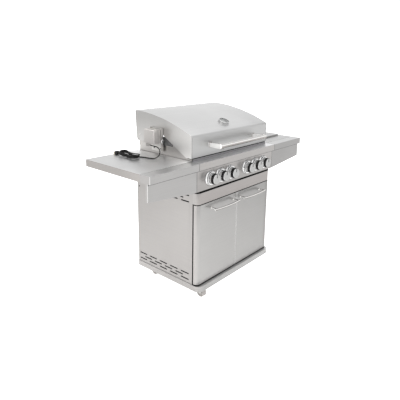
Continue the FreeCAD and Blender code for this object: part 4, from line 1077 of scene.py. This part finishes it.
# ---- light, floor and room ------------------------------------------------------------------
def area_light(name, place, aim, size, power, color=(1, 1, 1)):
    """A soft rectangular light at a place, turned towards a point."""
    data = bpy.data.lights.new(name, "AREA")
    data.shape = "RECTANGLE"
    data.size, data.size_y = size
    data.energy = power
    data.color = color
    light = bpy.data.objects.new(name, data)
    bpy.context.scene.collection.objects.link(light)
    light.location = place
    light.rotation_euler = (Vector(aim) - Vector(place)).to_track_quat("-Z", "Y").to_euler()


def make_floor():
    """A wide pale floor that glows a little, so that it is as even as a studio's lit paper."""
    glow, seen_glow = 0.4, 0.9
    bm = bmesh.new()
    bmesh.ops.create_circle(bm, cap_ends=True, segments=64, radius=60)
    mesh = bpy.data.meshes.new("floor")
    bm.to_mesh(mesh)
    bm.free()
    floor = bpy.data.objects.new("floor", mesh)
    bpy.context.scene.collection.objects.link(floor)
    paper = Finish("floor_paper", grey(0.93), 0.0, 0.8)
    paper.set_color(paper.shades(paper.even_noise(3), 0.99, 1.01))
    paper.shader.inputs["Emission Color"].default_value = (1, 1, 1, 1)
    seen = paper.add("ShaderNodeLightPath").outputs["Is Camera Ray"]
    paper.put(paper.span(seen, 0.0, 1.0, glow, seen_glow), paper.shader.inputs["Emission Strength"])
    mesh.materials.append(paper.material)


def make_world():
    """A white surround, and a softly graded one where it is seen in reflections."""
    world = bpy.data.worlds.new("studio")
    bpy.context.scene.world = world
    world.use_nodes = True
    tree = world.node_tree
    shade = tree.nodes["Background"]
    coords = tree.nodes.new("ShaderNodeTexCoord")
    split = tree.nodes.new("ShaderNodeSeparateXYZ")
    ramp = tree.nodes.new("ShaderNodeValToRGB")
    tree.links.new(coords.outputs["Generated"], split.inputs[0])
    tree.links.new(split.outputs["Z"], ramp.inputs["Fac"])
    tree.links.new(ramp.outputs["Color"], shade.inputs["Color"])
    set_stops(ramp.color_ramp.elements, [(0.0, grey(0.92)), (0.12, grey(1.0)), (0.35, grey(1.0)),
                                         (1.0, grey(0.98))])
    shade.inputs["Strength"].default_value = 1.15
    white = tree.nodes.new("ShaderNodeBackground")
    white.inputs["Color"].default_value = (1, 1, 1, 1)
    white.inputs["Strength"].default_value = 1.1
    rays = tree.nodes.new("ShaderNodeLightPath")
    mix = tree.nodes.new("ShaderNodeMixShader")
    tree.links.new(rays.outputs["Is Glossy Ray"], mix.inputs["Fac"])
    tree.links.new(white.outputs[0], mix.inputs[1])
    tree.links.new(shade.outputs[0], mix.inputs[2])
    tree.links.new(mix.outputs[0], tree.nodes["World Output"].inputs["Surface"])


def make_lights():
    """Two soft boxes: a large one overhead and a slightly warm one at the left."""
    aim = (0, 0, 0.7)
    area_light("top_softbox", (-0.6, -0.6, 4.2), aim, (4.5, 4.0), 28)
    area_light("left_softbox", (-4.2, 0.4, 2.4), aim, (3.0, 3.0), 25, (1.0, 0.975, 0.95))
    bpy.context.scene.view_settings.view_transform = "Standard"


make_camera()
lead = make_cord()
sleeve = make_strain_relief()
plug, blades = make_plug()
tie = make_tie()
dress_nodes()
make_painted_shadows()
make_spit_shield()
make_seams()
make_hems()
make_knob_grips()
make_bezel_rims()
make_gauge_print()
make_screw_marks()
make_collars()
make_motor_details()
make_caster_nuts()
make_floor()
make_world()
make_lights()
